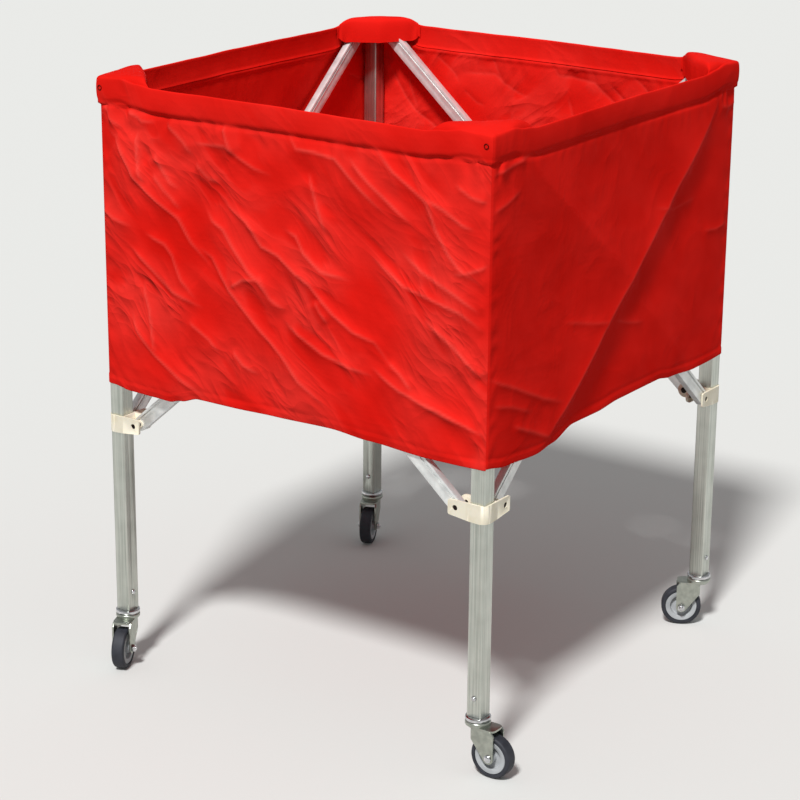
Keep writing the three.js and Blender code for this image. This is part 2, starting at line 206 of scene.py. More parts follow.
@dataclass(frozen=True)
class CoatedCloth:
    """Polyester oxford cloth with a coating on its back: plain woven, dyed, its soft waxy sheen painted as a paler
    colour along the creases.
    """

    name: str = "coated_oxford_polyester"
    shaded: str = "D21710"
    lit: str = "E01E17"
    # The paler red painted along the creases as the coating's highlight
    worn: str = "F4655A"
    thread_mm: float = 1.3  # a real thread is 0.4 mm, too fine to show, so the weave is drawn coarser
    slant: float = math.radians(-42)  # the creases' direction
    crease: tuple[float, float, float] = (1 / 7, 1 / 17, 1)  # the crease pattern's length and width, in metres

    def build(self) -> Material:
        """Makes the cloth: the weave and fine crumple catch the light, the dye varies a little, and a highlight is
        painted paler along the creases.

        Returns:
            The cloth's material.
        """
        nodes = Nodes(self.name)
        uv = nodes.add("UVMap", {"uv_map": "UVMap"}).outputs[0]
        # Dye: broad, faint patches between the two reds
        patches = nodes.add("TexNoise", inputs={"Vector": nodes.where, "Scale": 9.0, "Detail": 3.0}).outputs[0]
        reds = {"stops": ((0.35, self.shaded), (0.65, self.lit))}
        dye = nodes.add("ValToRGB", reds, {"Fac": patches}).outputs["Color"]
        # Threads: two crossed waves along the cloth's own width and length
        thread = {"Vector": uv, "Scale": 50 / self.thread_mm, "Distortion": 0.6, "Detail": 1.0}
        waves = [nodes.add("TexWave", {"bands_direction": way}, thread).outputs["Fac"] for way in "XY"]
        weave = nodes.add("Math", {"operation": "MULTIPLY"}, dict(enumerate(waves))).outputs[0]
        # Crumple: the small creases between the modelled folds, each a few millimetres wide
        ridged = {"noise_type": "RIDGED_MULTIFRACTAL", "normalize": True}
        sharp = {"Distortion": 0.5, "Offset": 1.0}
        small = {"Vector": nodes.where, "Scale": 12.0, "Detail": 3.0, "Gain": 1.5}
        crumple = nodes.add("TexNoise", ridged, sharp | small).outputs[0]
        relief = nodes.add("Bump", inputs={"Height": crumple, "Strength": 0.25, "Distance": 0.002}).outputs[0]
        # Creases: long thin lines slantwise over the cloth, as strong as the wall's own "creased" attribute says
        lie = {"Vector": uv, "Rotation": (0, 0, self.slant), "Scale": self.crease}
        slantwise = nodes.add("Mapping", {"vector_type": "TEXTURE"}, lie).outputs[0]
        long = {"Vector": slantwise, "Scale": 1.0, "Detail": 2.0, "Gain": 1.6}
        line = nodes.add("TexNoise", ridged, sharp | long).outputs[0]
        amount = nodes.add("Attribute", {"attribute_name": "creased"}).outputs["Fac"]
        for height, strength, depth in ((line, amount, 0.0045), (weave, 0.25, 0.0002)):
            over = {"Height": height, "Strength": strength, "Distance": depth, "Normal": relief}
            relief = nodes.add("Bump", inputs=over).outputs[0]
        # Painted highlight: the colour is paler along the fine creases, and more along the crests of the modelled
        # folds, in place of the coating's sheen
        crest = nodes.add("Attribute", {"attribute_name": "crest"}).outputs["Fac"]
        edge = nodes.add("MapRange", inputs={0: line, 1: 0.6, 2: 1.0, 3: 0.03, 4: 0.14}).outputs[0]
        added = {"operation": "MULTIPLY_ADD", "use_clamp": True}
        wear = nodes.add("Math", added, {0: edge, 1: amount, 2: crest}).outputs[0]
        dye_and_sheen = nodes.add("Mix", {"data_type": "RGBA"}, {0: wear, 6: dye, 7: linear(self.worn)}).outputs[2]
        gloss = nodes.add("MapRange", inputs={0: crumple, 3: 0.4, 4: 0.52}).outputs[0]
        return nodes.surface(Base_Color=dye_and_sheen, Normal=relief, Roughness=gloss, IOR=1.5, Specular_IOR_Level=0.004)


@dataclass(frozen=True)
class Aluminium:
    """Extruded aluminium with no coating: pale grey, with drawn streaks along its length."""

    name: str
    dull: str
    bright: str
    roughness: tuple[float, float]
    streak_mm: tuple[float, float, float] = (2.0, 2.0, 160.0)  # how far a streak goes along each axis
    metallic: float = 1.0

    def build(self) -> Material:
        """Makes the metal: long streaks of dull and bright, as the die leaves them, and faint handling marks.

        Returns:
            The metal's material.
        """
        nodes = Nodes(self.name)
        scale = tuple(1000 / size for size in self.streak_mm)
        drawn = nodes.add("Mapping", inputs={"Vector": nodes.where, "Scale": scale}).outputs[0]
        streaks = nodes.add("TexNoise", inputs={"Vector": drawn, "Scale": 1.0, "Detail": 5.0}).outputs[0]
        marks = nodes.add("TexNoise", inputs={"Vector": nodes.where, "Scale": 28.0, "Detail": 6.0}).outputs[0]
        mixed = nodes.add("Math", {"operation": "MULTIPLY_ADD"}, {0: marks, 1: 0.4, 2: streaks}).outputs[0]
        stops = ((0.45, self.dull), (0.85, self.bright))
        return nodes.mottled(mixed, stops, self.roughness, (streaks, 0.15, 0.0001), Metallic=self.metallic)


@dataclass(frozen=True)
class MouldedPlastic:
    """Injection moulded plastic: even colour, fine moulded grain, soft broad highlights."""

    name: str
    colour: str
    worn: str
    roughness: tuple[float, float] = (0.42, 0.55)
    subsurface: float = 0.0

    def build(self) -> Material:
        """Makes the plastic: a faint flow mottle in the colour and a spark-eroded grain in the surface.

        Returns:
            The plastic's material.
        """
        nodes = Nodes(self.name)
        flow = nodes.add("TexNoise", inputs={"Vector": nodes.where, "Scale": 45.0, "Detail": 3.0}).outputs[0]
        grain = nodes.add("TexNoise", inputs={"Vector": nodes.where, "Scale": 900.0, "Detail": 2.0}).outputs[0]
        stops = ((0.3, self.worn), (0.6, self.colour))
        inner = {"Subsurface_Weight": self.subsurface, "Subsurface_Radius": (0.003, 0.002, 0.001)}
        return nodes.mottled(flow, stops, self.roughness, (grain, 0.2, 0.0001), IOR=1.5, **inner)


@dataclass(frozen=True)
class PlatedSteel:
    """Pressed or turned steel with a zinc or chrome plating: clear, slightly cloudy reflections."""

    name: str
    cloudy: str
    clear: str
    roughness: tuple[float, float]

    def build(self) -> Material:
        """Makes the plating: cloudy patches a few millimetres across over a bright ground.

        Returns:
            The plating's material.
        """
        nodes = Nodes(self.name)
        cloud = nodes.add("TexNoise", inputs={"Vector": nodes.where, "Scale": 120.0, "Detail": 4.0}).outputs[0]
        stops = ((0.35, self.cloudy), (0.65, self.clear))
        return nodes.mottled(cloud, stops, self.roughness, (cloud, 0.1, 0.0001), Metallic=1.0)


@dataclass(frozen=True)
class TyreRubber:
    """Moulded solid rubber: blue-black, dusty on the tread."""

    name: str = "moulded_tyre_rubber"
    clean: str = "1D1F27"
    dusty: str = "34363E"
    roughness: tuple[float, float] = (0.5, 0.8)

    def build(self) -> Material:
        """Makes the rubber: dust lies in patches and dulls it, and the moulded skin is finely rough.

        Returns:
            The rubber's material.
        """
        nodes = Nodes(self.name)
        dust = nodes.add("TexNoise", inputs={"Vector": nodes.where, "Scale": 60.0, "Detail": 6.0}).outputs[0]
        stops = ((0.4, self.clean), (0.75, self.dusty))
        return nodes.mottled(dust, stops, self.roughness, (dust, 0.2, 0.0003), IOR=1.52)


class Finishes:
    """Every material of the cart, made once."""

    def __init__(self) -> None:
        """Builds each finish of the cart."""
        self.cloth = CoatedCloth().build()
        self.tube = Aluminium("mill_aluminium_tube", "A3A8A0", "CFD2CA", (0.3, 0.45)).build()
        self.bar = Aluminium("satin_aluminium_bar", "D3D5D4", "EFF0EE", (0.34, 0.46), (14.0, 14.0, 14.0), 0.5).build()
        self.ivory = MouldedPlastic("moulded_ivory_nylon", "E9E1CD", "DDD3BA", subsurface=0.05).build()
        self.bright = PlatedSteel("bright_plated_steel", "B9BABC", "E2E2E4", (0.1, 0.25)).build()
        self.zinc = PlatedSteel("zinc_plated_steel", "A0A49B", "B4B8AE", (0.3, 0.4)).build()
        self.dark = PlatedSteel("blackened_steel", "1C1715", "2E2623", (0.35, 0.5)).build()
        self.painted = PlatedSteel("lacquered_steel_eyelet", "4E0E0B", "6A1410", (0.35, 0.5)).build()
        self.centre = MouldedPlastic("moulded_grey_nylon", "B6B9BB", "A5A8AA").build()
        self.rubber = TyreRubber().build()


# Modelling


def mode(kind: str) -> None:
    """Goes to EDIT or OBJECT mode."""
    bpy.ops.object.mode_set(mode=kind)


def deselect() -> None:
    """Leaves edit mode and deselects every object."""
    if bpy.context.object and bpy.context.object.mode != "OBJECT":
        mode("OBJECT")
    bpy.ops.object.select_all(action="DESELECT")


def take(piece: Piece) -> None:
    """Selects one piece alone, as the active one.

    Args:
        piece: The piece.
    """
    deselect()
    bpy.context.view_layer.objects.active = piece
    piece.select_set(True)


def named(name: str) -> Piece:
    """Names the object that was just added, and its mesh.

    Args:
        name: The piece's name.

    Returns:
        The object.
    """
    made = bpy.context.object
    made.name = made.data.name = name
    return made


def modify(piece: Piece, kind: str, **settings: object) -> None:
    """Adds a modifier and applies it.

    Args:
        piece: The object that it finishes.
        kind: The modifier's type.
        settings: The modifier's properties.
    """
    take(piece)
    modifier = piece.modifiers.new(kind.lower(), kind)
    for key, value in settings.items():
        setattr(modifier, key, value)
    bpy.ops.object.modifier_apply(modifier=modifier.name)


def smooth(piece: Piece, degrees: float) -> Piece:
    """Shades a piece smooth, apart from its sharp edges.

    Args:
        piece: The piece.
        degrees: The least angle of an edge that stays sharp.

    Returns:
        The piece.
    """
    take(piece)
    bpy.ops.object.shade_smooth_by_angle(angle=math.radians(degrees))
    return piece


def moved(x: float, y: float, z: float) -> Matrix:
    """A move in millimetres."""
    return Matrix.Translation(Vector((x, y, z)) * MM)


SWAP = Matrix(((0, 1, 0, 0), (1, 0, 0, 0), (0, 0, 1, 0), (0, 0, 0, 1)))
UPRIGHT = Matrix.Identity(4)
STOOD_UP = Matrix(((1, 0, 0, 0), (0, 0, 1, 0), (0, 1, 0, 0), (0, 0, 0, 1)))  # makes an outline a plan
ON_Y = Matrix.Rotation(-QUARTER, 4, "X")  # lays a turned piece's axis along Y
ON_X = Matrix.Rotation(QUARTER, 4, "Y")  # and along X


def arc(centre: tuple[float, float], radius: float, start: float, end: float, steps: int = 10) -> list:
    """Points of an arc, with its angles in degrees."""
    angles = [math.radians(start + (end - start) * i / steps) for i in range(steps + 1)]
    return [(centre[0] + radius * math.cos(a), centre[1] + radius * math.sin(a)) for a in angles]


def traced(name: str, points: list, across: float = 0.0) -> Piece:
    """Draws an open line through points of the XZ plane by extruding one vertex, and stays in edit mode.

    Args:
        name: The piece's name.
        points: The line's points, in millimetres.
        across: The line's Y.

    Returns:
        The line's object.
    """
    deselect()
    bpy.ops.mesh.primitive_plane_add(size=MM)
    line = named(name)
    mode("EDIT")
    bpy.ops.mesh.select_all(action="SELECT")
    bpy.ops.mesh.merge(type="CENTER")
    spots = [Vector((x, across, z)) * MM for x, z in points]
    bpy.ops.transform.translate(value=spots[0])
    for here, there in zip(spots, spots[1:]):
        bpy.ops.mesh.extrude_vertices_move(TRANSFORM_OT_translate={"value": there - here})
    bpy.ops.mesh.select_all(action="SELECT")
    return line


def outward(piece: Piece, place: Matrix = UPRIGHT) -> Piece:
    """Moves a piece's mesh to its place, merges its doubles and points its faces outwards.

    Args:
        piece: The piece, in edit mode or not.
        place: Where its mesh goes.

    Returns:
        The piece.
    """
    deselect()
    piece.data.transform(place)
    take(piece)
    mode("EDIT")
    bpy.ops.mesh.select_all(action="SELECT")
    bpy.ops.mesh.remove_doubles(threshold=0.002 * MM)
    bpy.ops.mesh.normals_make_consistent(inside=False)
    mode("OBJECT")
    return piece


def slab(name: str, points: list, low: float, high: float, wall: Matrix = UPRIGHT) -> Piece:
    """Fills an outline of the XZ plane and extrudes it along Y.

    Args:
        name: The piece's name.
        points: The outline's points, in millimetres.
        low: The slab's lowest Y.
        high: Its highest Y.
        wall: SWAP to lay the outline along Y instead, and extrude it along X.

    Returns:
        The slab.
    """
    piece = traced(name, points, low)
    bpy.ops.mesh.edge_face_add()
    bpy.ops.mesh.extrude_region_move(TRANSFORM_OT_translate={"value": (0, (high - low) * MM, 0)})
    return outward(piece, wall)


def spun(name: str, profile: list, place: Matrix = UPRIGHT, steps: int = 48) -> Piece:
    """Turns a profile round the Z axis.

    Args:
        name: The piece's name.
        profile: Radius and height of each point, in millimetres.
        place: Where the turned piece goes.
        steps: How many steps make the whole turn.

    Returns:
        The turned piece.
    """
    piece = traced(name, profile)
    bpy.ops.mesh.spin(steps=steps, angle=4 * QUARTER, center=(0, 0, 0), axis=(0, 0, 1))
    return outward(piece, place)


def drill(wall: Matrix, along: float, up: float, radius: float, low: float, high: float) -> Piece:
    """A cylinder through a wall, to cut a hole or to stand as a boss.

    Args:
        wall: UPRIGHT for a hole along Y, or SWAP for one along X.
        along: Its distance along the wall.
        up: Its height.
        radius: Its radius.
        low: Where it starts across the wall.
        high: Where it ends.

    Returns:
        The cylinder.
    """
    deselect()
    bpy.ops.mesh.primitive_cylinder_add(vertices=40, radius=radius * MM, depth=(high - low) * MM)
    return outward(named("drill"), wall @ moved(along, (low + high) / 2, up) @ ON_Y)


def block(name: str, low: tuple, high: tuple) -> Piece:
    """A box between two corners.

    Args:
        name: The box's name.
        low: Its lowest corner, in millimetres.
        high: Its highest corner.

    Returns:
        The box.
    """
    deselect()
    middle = [(a + b) / 2 * MM for a, b in zip(low, high)]
    bpy.ops.mesh.primitive_cube_add(size=1, location=middle, scale=[(b - a) * MM for a, b in zip(low, high)])
    bpy.ops.object.transform_apply()
    return named(name)


def pick(piece: Piece, kind: str, wanted: Callable) -> None:
    """Selects some of a piece's edges or faces, and goes to edit mode.

    Args:
        piece: The piece.
        kind: EDGE or FACE.
        wanted: Says of an edge or a face whether it is selected.
    """
    take(piece)
    mode("EDIT")
    bpy.ops.mesh.select_mode(type=kind)
    bpy.ops.mesh.select_all(action="DESELECT")
    mode("OBJECT")
    for part in piece.data.edges if kind == "EDGE" else piece.data.polygons:
        part.select = wanted(part)
    mode("EDIT")


def leave() -> None:
    """Goes back from edges or faces to points, and to object mode."""
    bpy.ops.mesh.select_mode(type="VERT")
    mode("OBJECT")


def round_uprights(piece: Piece, radius: float, segments: int) -> None:
    """Rounds a box's upright edges.

    Args:
        piece: The box.
        radius: The round's radius, in millimetres.
        segments: The faces of each round.
    """
    points = piece.data.vertices
    runs = {edge.index: points[edge.vertices[1]].co - points[edge.vertices[0]].co for edge in piece.data.edges}
    pick(piece, "EDGE", lambda edge: abs(runs[edge.index].z) > 0.999 * runs[edge.index].length)
    bpy.ops.mesh.bevel(offset=radius * MM, segments=segments, affect="EDGES")
    leave()


def combine(piece: Piece, how: str, *tools: Piece) -> Piece:
    """Cuts tools from a piece or fuses them with it, and removes the tools.

    Args:
        piece: The piece.
        how: DIFFERENCE or UNION.
        tools: What cuts it or joins it.

    Returns:
        The piece.
    """
    for tool in tools:
        modify(piece, "BOOLEAN", operation=how, object=tool, solver="EXACT")
        bpy.data.objects.remove(tool)
    return piece


def soften(piece: Piece, width: float, segments: int, degrees: float = 40.0) -> Piece:
    """Rounds a piece's sharp edges and shades it smooth.

    Args:
        piece: The piece.
        width: The round's width, in millimetres.
        segments: The faces of each round.
        degrees: The least angle of an edge that is rounded.

    Returns:
        The piece.
    """
    least = math.radians(degrees)
    modify(piece, "BEVEL", width=width * MM, segments=segments, limit_method="ANGLE", angle_limit=least)
    return smooth(piece, 38)


def linked(name: str, data: bpy.types.ID) -> Piece:
    """Adds a mesh, a lamp or a camera to the scene.

    Args:
        name: The object's name.
        data: What it shows.

    Returns:
        The new object.
    """
    thing = bpy.data.objects.new(name, data)
    bpy.context.scene.collection.objects.link(thing)
    return thing


def placed(piece: Piece, name: str, place: Matrix) -> Piece:
    """Copies a piece, with its own mesh, to its place.

    Args:
        piece: The piece that is repeated.
        name: The copy's name.
        place: Where the copy's mesh goes.

    Returns:
        The copy.
    """
    mesh = piece.data.copy()
    mesh.transform(place)
    mesh.name = name
    return linked(name, mesh)


def scrap(*masters: Piece) -> None:
    """Removes the pieces that were copied."""
    for master in masters:
        bpy.data.objects.remove(master)


def dress(piece: Piece, finish: Material, slot: str, body: str, *nodes: str) -> None:
    """Gives a finished piece its material and its body, and hides the CAD nodes that it stands for.

    Args:
        piece: The finished piece, in its place.
        finish: Its material.
        slot: The record's material slot; not used.
        body: The CAD body that it rides on.
        nodes: The CAD nodes that it replaces.
    """
    piece.data.materials.clear()
    piece.data.materials.append(finish)
    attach(piece, body)
    if nodes:
        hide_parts(*nodes)
    LOG.info("made %s on %s", piece.name, body)


# Frame


@dataclass
class Leg:
    """A square tube leg with the domed rivet that holds its caster's plug."""

    half: float = 12.5
    corner: float = 2.5
    wall: float = 1.5
    bottom: float = 90.0
    top: float = 931.0
    rivet_height: float = 119.0
    rivet_hole: float = 2.8

    def tube(self) -> Piece:
        """Models the tube: a rounded box, open at both ends, walled inwards and drilled for its rivet.

        Returns:
            The tube, in the first corner's axes.
        """
        tube = block("post", (-self.half, -self.half, self.bottom), (self.half, self.half, self.top))
        round_uprights(tube, self.corner, 6)
        pick(tube, "FACE", lambda face: abs(face.normal.z) > 0.9)
        bpy.ops.mesh.delete(type="FACE")
        leave()
        modify(tube, "SOLIDIFY", thickness=self.wall * MM, offset=-1.0, use_even_offset=True)
        combine(tube, "DIFFERENCE", drill(SWAP, 0, self.rivet_height, self.rivet_hole, -20, 20))
        return soften(tube, 0.25, 2, 50)

    def rivet(self) -> Piece:
        """Models the rivet across the leg, with a low dome at each end.

        Returns:
            The rivet, in the first corner's axes.
        """
        seat = self.half + 0.3
        dome = [(4.0, seat), (3.9, seat + 0.5), (3.3, seat + 1.25), (2.2, seat + 1.75), (0, seat + 2.0)]
        profile = [(r, -z) for r, z in reversed(dome)] + [(2.4, -seat), (2.4, seat)] + dome
        return smooth(spun("stem_rivet", profile, moved(0, 0, self.rivet_height) @ ON_X, 32), 50)

    def build(self, finishes: Finishes) -> None:
        """Makes the four legs and their rivets.

        Args:
            finishes: The cart's materials.
        """
        tube, rivet = self.tube(), self.rivet()
        for corner in Corner:
            label, place = corner.label, corner.place()
            dress(placed(tube, f"tube_{label}", place), finishes.tube, "tube", f"leg_{label}", f"post_{label}")
            stud = placed(rivet, f"domed_rivet_{label}", place)
            dress(stud, finishes.bright, "rivet", f"leg_{label}", f"stem_rivet_{label}")
        scrap(tube, rivet)


@dataclass
class Bracket:
    """A moulded bracket: a sleeve round the leg and a forked pair of ears along each side."""

    pivot: float = 35.5
    face: float = 16.0
    wall: float = 3.1
    corner: float = 12.5
    ear: float = 47.5
    inner_ear: float = 46.0
    tip: float = 3.0
    top: float = 11.5
    bottom: float = -16.0
    ear_bottom: float = -11.5
    edge: float = 0.9

    def body(self, name: str, high: float, bosses: tuple[tuple[float, float], tuple[float, float]]) -> Piece:
        """Models what both kinds of bracket share.

        Args:
            name: The bracket's name.
            high: The sleeve's top.
            bosses: Where the spacer boss starts and ends across the x side and the y side.

        Returns:
            The bracket's body, with its middle at its pivots' height.
        """
        face, inside, end, tip, top = self.face, self.face - self.wall, self.ear - self.tip, self.tip, self.top
        plan = [
            (face, face), (-face, face), *arc((-face + self.corner, -face + self.corner), self.corner, 180, 270, 14),
            (face, -face),
        ]
        sleeve = slab(name, plan, self.bottom, high, STOOD_UP)
        outer = [
            (0, self.bottom), (6, self.bottom), (end, self.ear_bottom),
            *arc((end, self.ear_bottom + tip), tip, -80, 0, 5), *arc((end, top - tip), tip, 0, 90, 5), (0, top),
        ]
        inner = [(0, top), *arc((self.inner_ear - top, 0), top, 90, -90, 20), (0, -top)]
        for wall, boss in zip((UPRIGHT, SWAP), bosses):
            ears = slab("outer_ear", outer, -face, -inside, wall), slab("inner_ear", inner, inside, face, wall)
            combine(sleeve, "UNION", *ears, drill(wall, self.pivot, 0, 6.0, *boss))
        # The lower edge rises in one soft curve from the corner to the ear ends
        rise = self.ear_bottom - self.bottom
        steps = [i / 12 for i in range(13)]
        curve = [(self.ear + 1 - t * (self.ear + 7), self.bottom + rise * (1 - t) ** 1.6) for t in steps]
        wedge = [(-6, self.bottom - 1), (self.ear + 1, self.bottom - 1), *curve]
        cuts = [slab("under_cut", wedge, -face - 1, face + 1, wall) for wall in (UPRIGHT, SWAP)]
        return combine(sleeve, "DIFFERENCE", *cuts)

    def bore(self, half: float, top: float) -> Piece:
        """Makes the block that cuts the leg's hole.

        Args:
            half: Half its width.
            top: The height of its top.

        Returns:
            The block.
        """
        bore = block("bore", (-half, -half, self.bottom - 2), (half, half, top))
        round_uprights(bore, 2.5, 5)
        return bore

    def slider(self) -> Piece:
        """Models the bracket that slides on its leg, with sunk rivet holes in its outer ears.

        Returns:
            The bracket, with its middle at its pivots' height.
        """
        inside, face = self.face - self.wall, self.face
        body = self.body("slider", self.top, ((-1.1, inside + 0.5), (-inside - 0.5, 0.1)))
        cuts = [self.bore(13, self.top + 2)]
        for wall in (UPRIGHT, SWAP):
            cuts.append(drill(wall, self.pivot, 0, 3.5, -face - 1, face + 1))
            cuts.append(drill(wall, self.pivot, 0, 4.2, -face - 1, -face + 1.8))
        return soften(combine(body, "DIFFERENCE", *cuts), self.edge, 3)

    def cap(self) -> Piece:
        """Models the fixed bracket, closed over the leg's top, with its pivot pins.

        Returns:
            The bracket, with its middle at its pivots' height.
        """
        inside = self.face - self.wall
        body = self.body("top_bracket", 13.6, ((-inside - 0.5, 0.1), (-1.1, inside + 0.5)))
        combine(body, "DIFFERENCE", self.bore(12.85, 11.4))
        pins = [drill(wall, self.pivot, 0, 3.0, -inside - 1, inside + 1) for wall in (UPRIGHT, SWAP)]
        return soften(combine(body, "UNION", *pins), self.edge * 0.7, 2)

    def rivet(self) -> Piece:
        """Models the slider's pivot rivet: a flat flange sunk in the outer ear, and a dome inside.

        Returns:
            The rivet, with its axis along y.
        """
        seat, end = self.face + 0.3, -self.face + 1.8
        dome = [(5.0, seat), (4.8, seat + 0.6), (3.8, seat + 1.3), (2.2, seat + 1.8), (0, seat + 2.0)]
        flange = [(0, end), (1.2, end - 0.1), (1.6, end - 0.5), (3.8, end - 0.5), (3.8, end), (3.0, end), (3.0, seat)]
        return smooth(spun("slider_rivet", flange + dome, ON_Y, 32), 45)

    def build(self, finishes: Finishes) -> None:
        """Makes the four fixed brackets, the four sliding ones and the sliders' rivets.

        Args:
            finishes: The cart's materials.
        """
        slider, cap, rivet = self.slider(), self.cap(), self.rivet()
        low, high, shift = moved(0, 0, PIVOT_LOW), moved(0, 0, PIVOT_HIGH), moved(self.pivot, 0, PIVOT_LOW)
        for corner in Corner:
            label, place = corner.label, corner.place()
            piece = placed(cap, f"fixed_bracket_{label}", place @ high)
            dress(piece, finishes.ivory, "bracket", f"leg_{label}", f"top_bracket_{label}")
            piece = placed(slider, f"sliding_bracket_{label}", place @ low)
            dress(piece, finishes.ivory, "bracket", f"slider_{label}", f"slider_{label}")
            for axis, turn in (("x", shift), ("y", SWAP @ shift)):
                pin = outward(placed(rivet, f"pivot_rivet_{label}_{axis}", place @ turn))
                dress(pin, finishes.dark, "rivet", f"slider_{label}", f"slider_rivet_{label}_{axis}")
        scrap(slider, cap, rivet)


@dataclass
class Scissors:
    """Two crossed extruded bars on each side, and the rivet with its washer where they cross."""

    run: float = 594.0
    rise: float = PIVOT_HIGH - PIVOT_LOW
    height: float = 22.0
    thickness: float = 11.0
    outer: float = -12.5
    inner: float = 0.5
    wall: float = 1.3
    groove_up: float = 6.0
    groove: float = 2.6
    groove_depth: float = 1.7

    def bar(self) -> Piece:
        """Models the bar: round ends, a groove near the upper edge of both faces, hollow below it.

        Returns:
            The bar, level along x, with its middle at the origin.
        """
        half, end, face = math.hypot(self.run, self.rise) / 2, self.height / 2, self.thickness
        bar = slab("bar", arc((half, 0), end, -90, 90, 20) + arc((-half, 0), end, 90, 270, 20), 0, face)
        low, high = self.groove_up - self.groove / 2, self.groove_up + self.groove / 2
        hollow = (self.wall, face - self.wall, -end + self.wall, low - self.wall)
        near, far = (-1, self.groove_depth, low, high), (face - self.groove_depth, face + 1, low, high)
        reach = half + 2 * end
        cuts = [block("cut", (-reach, a, c), (reach, b, d)) for a, b, c, d in (hollow, near, far)]
        cuts += [drill(UPRIGHT, x, 0, 3.5, -1, face + 1) for x in (-half, 0, half)]
        return soften(combine(bar, "DIFFERENCE", *cuts), 0.45, 2, 50)

    def rivet(self) -> Piece:
        """Models the centre rivet with the nylon washer's collar between the bars.

        Returns:
            The rivet, with its axis along y.
        """
        outside, inside = self.outer - 0.3, self.inner + self.thickness + 0.3
        low, high = self.outer + self.thickness + 0.3, self.inner - 0.3
        dome = ((6, 0), (5.6, 0.5), (4.4, 1.2), (2.6, 1.8), (0, 2))
        profile = [
            *((r, outside - z) for r, z in reversed(dome)), (3, outside), (3, low), (6.5, low), (6.5, high),
            (3, high), (3, inside), *((r, inside + z) for r, z in dome),
        ]
        return smooth(spun("centre_rivet", profile, ON_Y, 36), 45)

    def build(self, finishes: Finishes) -> None:
        """Makes the two bars and the rivet of each side.

        Args:
            finishes: The cart's materials.
        """
        bar, rivet = self.bar(), self.rivet()
        slope = math.atan2(self.rise, self.run)
        for side in Side:
            label = side.label
            middle = Corner(side.value).place() @ moved(POST_CENTRE, 0, (PIVOT_LOW + PIVOT_HIGH) / 2)
            for kind, across, turn in (("outer", self.outer, slope), ("inner", self.inner, -slope)):
                place = middle @ moved(0, across, 0) @ Matrix.Rotation(turn, 4, "Y")
                piece = placed(bar, f"{kind}_profile_{label}", place)
                dress(piece, finishes.bar, "bar", f"{kind}_bar_{label}", f"{kind}_bar_{label}")
            piece = placed(rivet, f"crossing_rivet_{label}", middle)
            dress(piece, finishes.bright, "rivet", f"outer_bar_{label}", f"centre_rivet_{label}")
        scrap(bar, rivet)


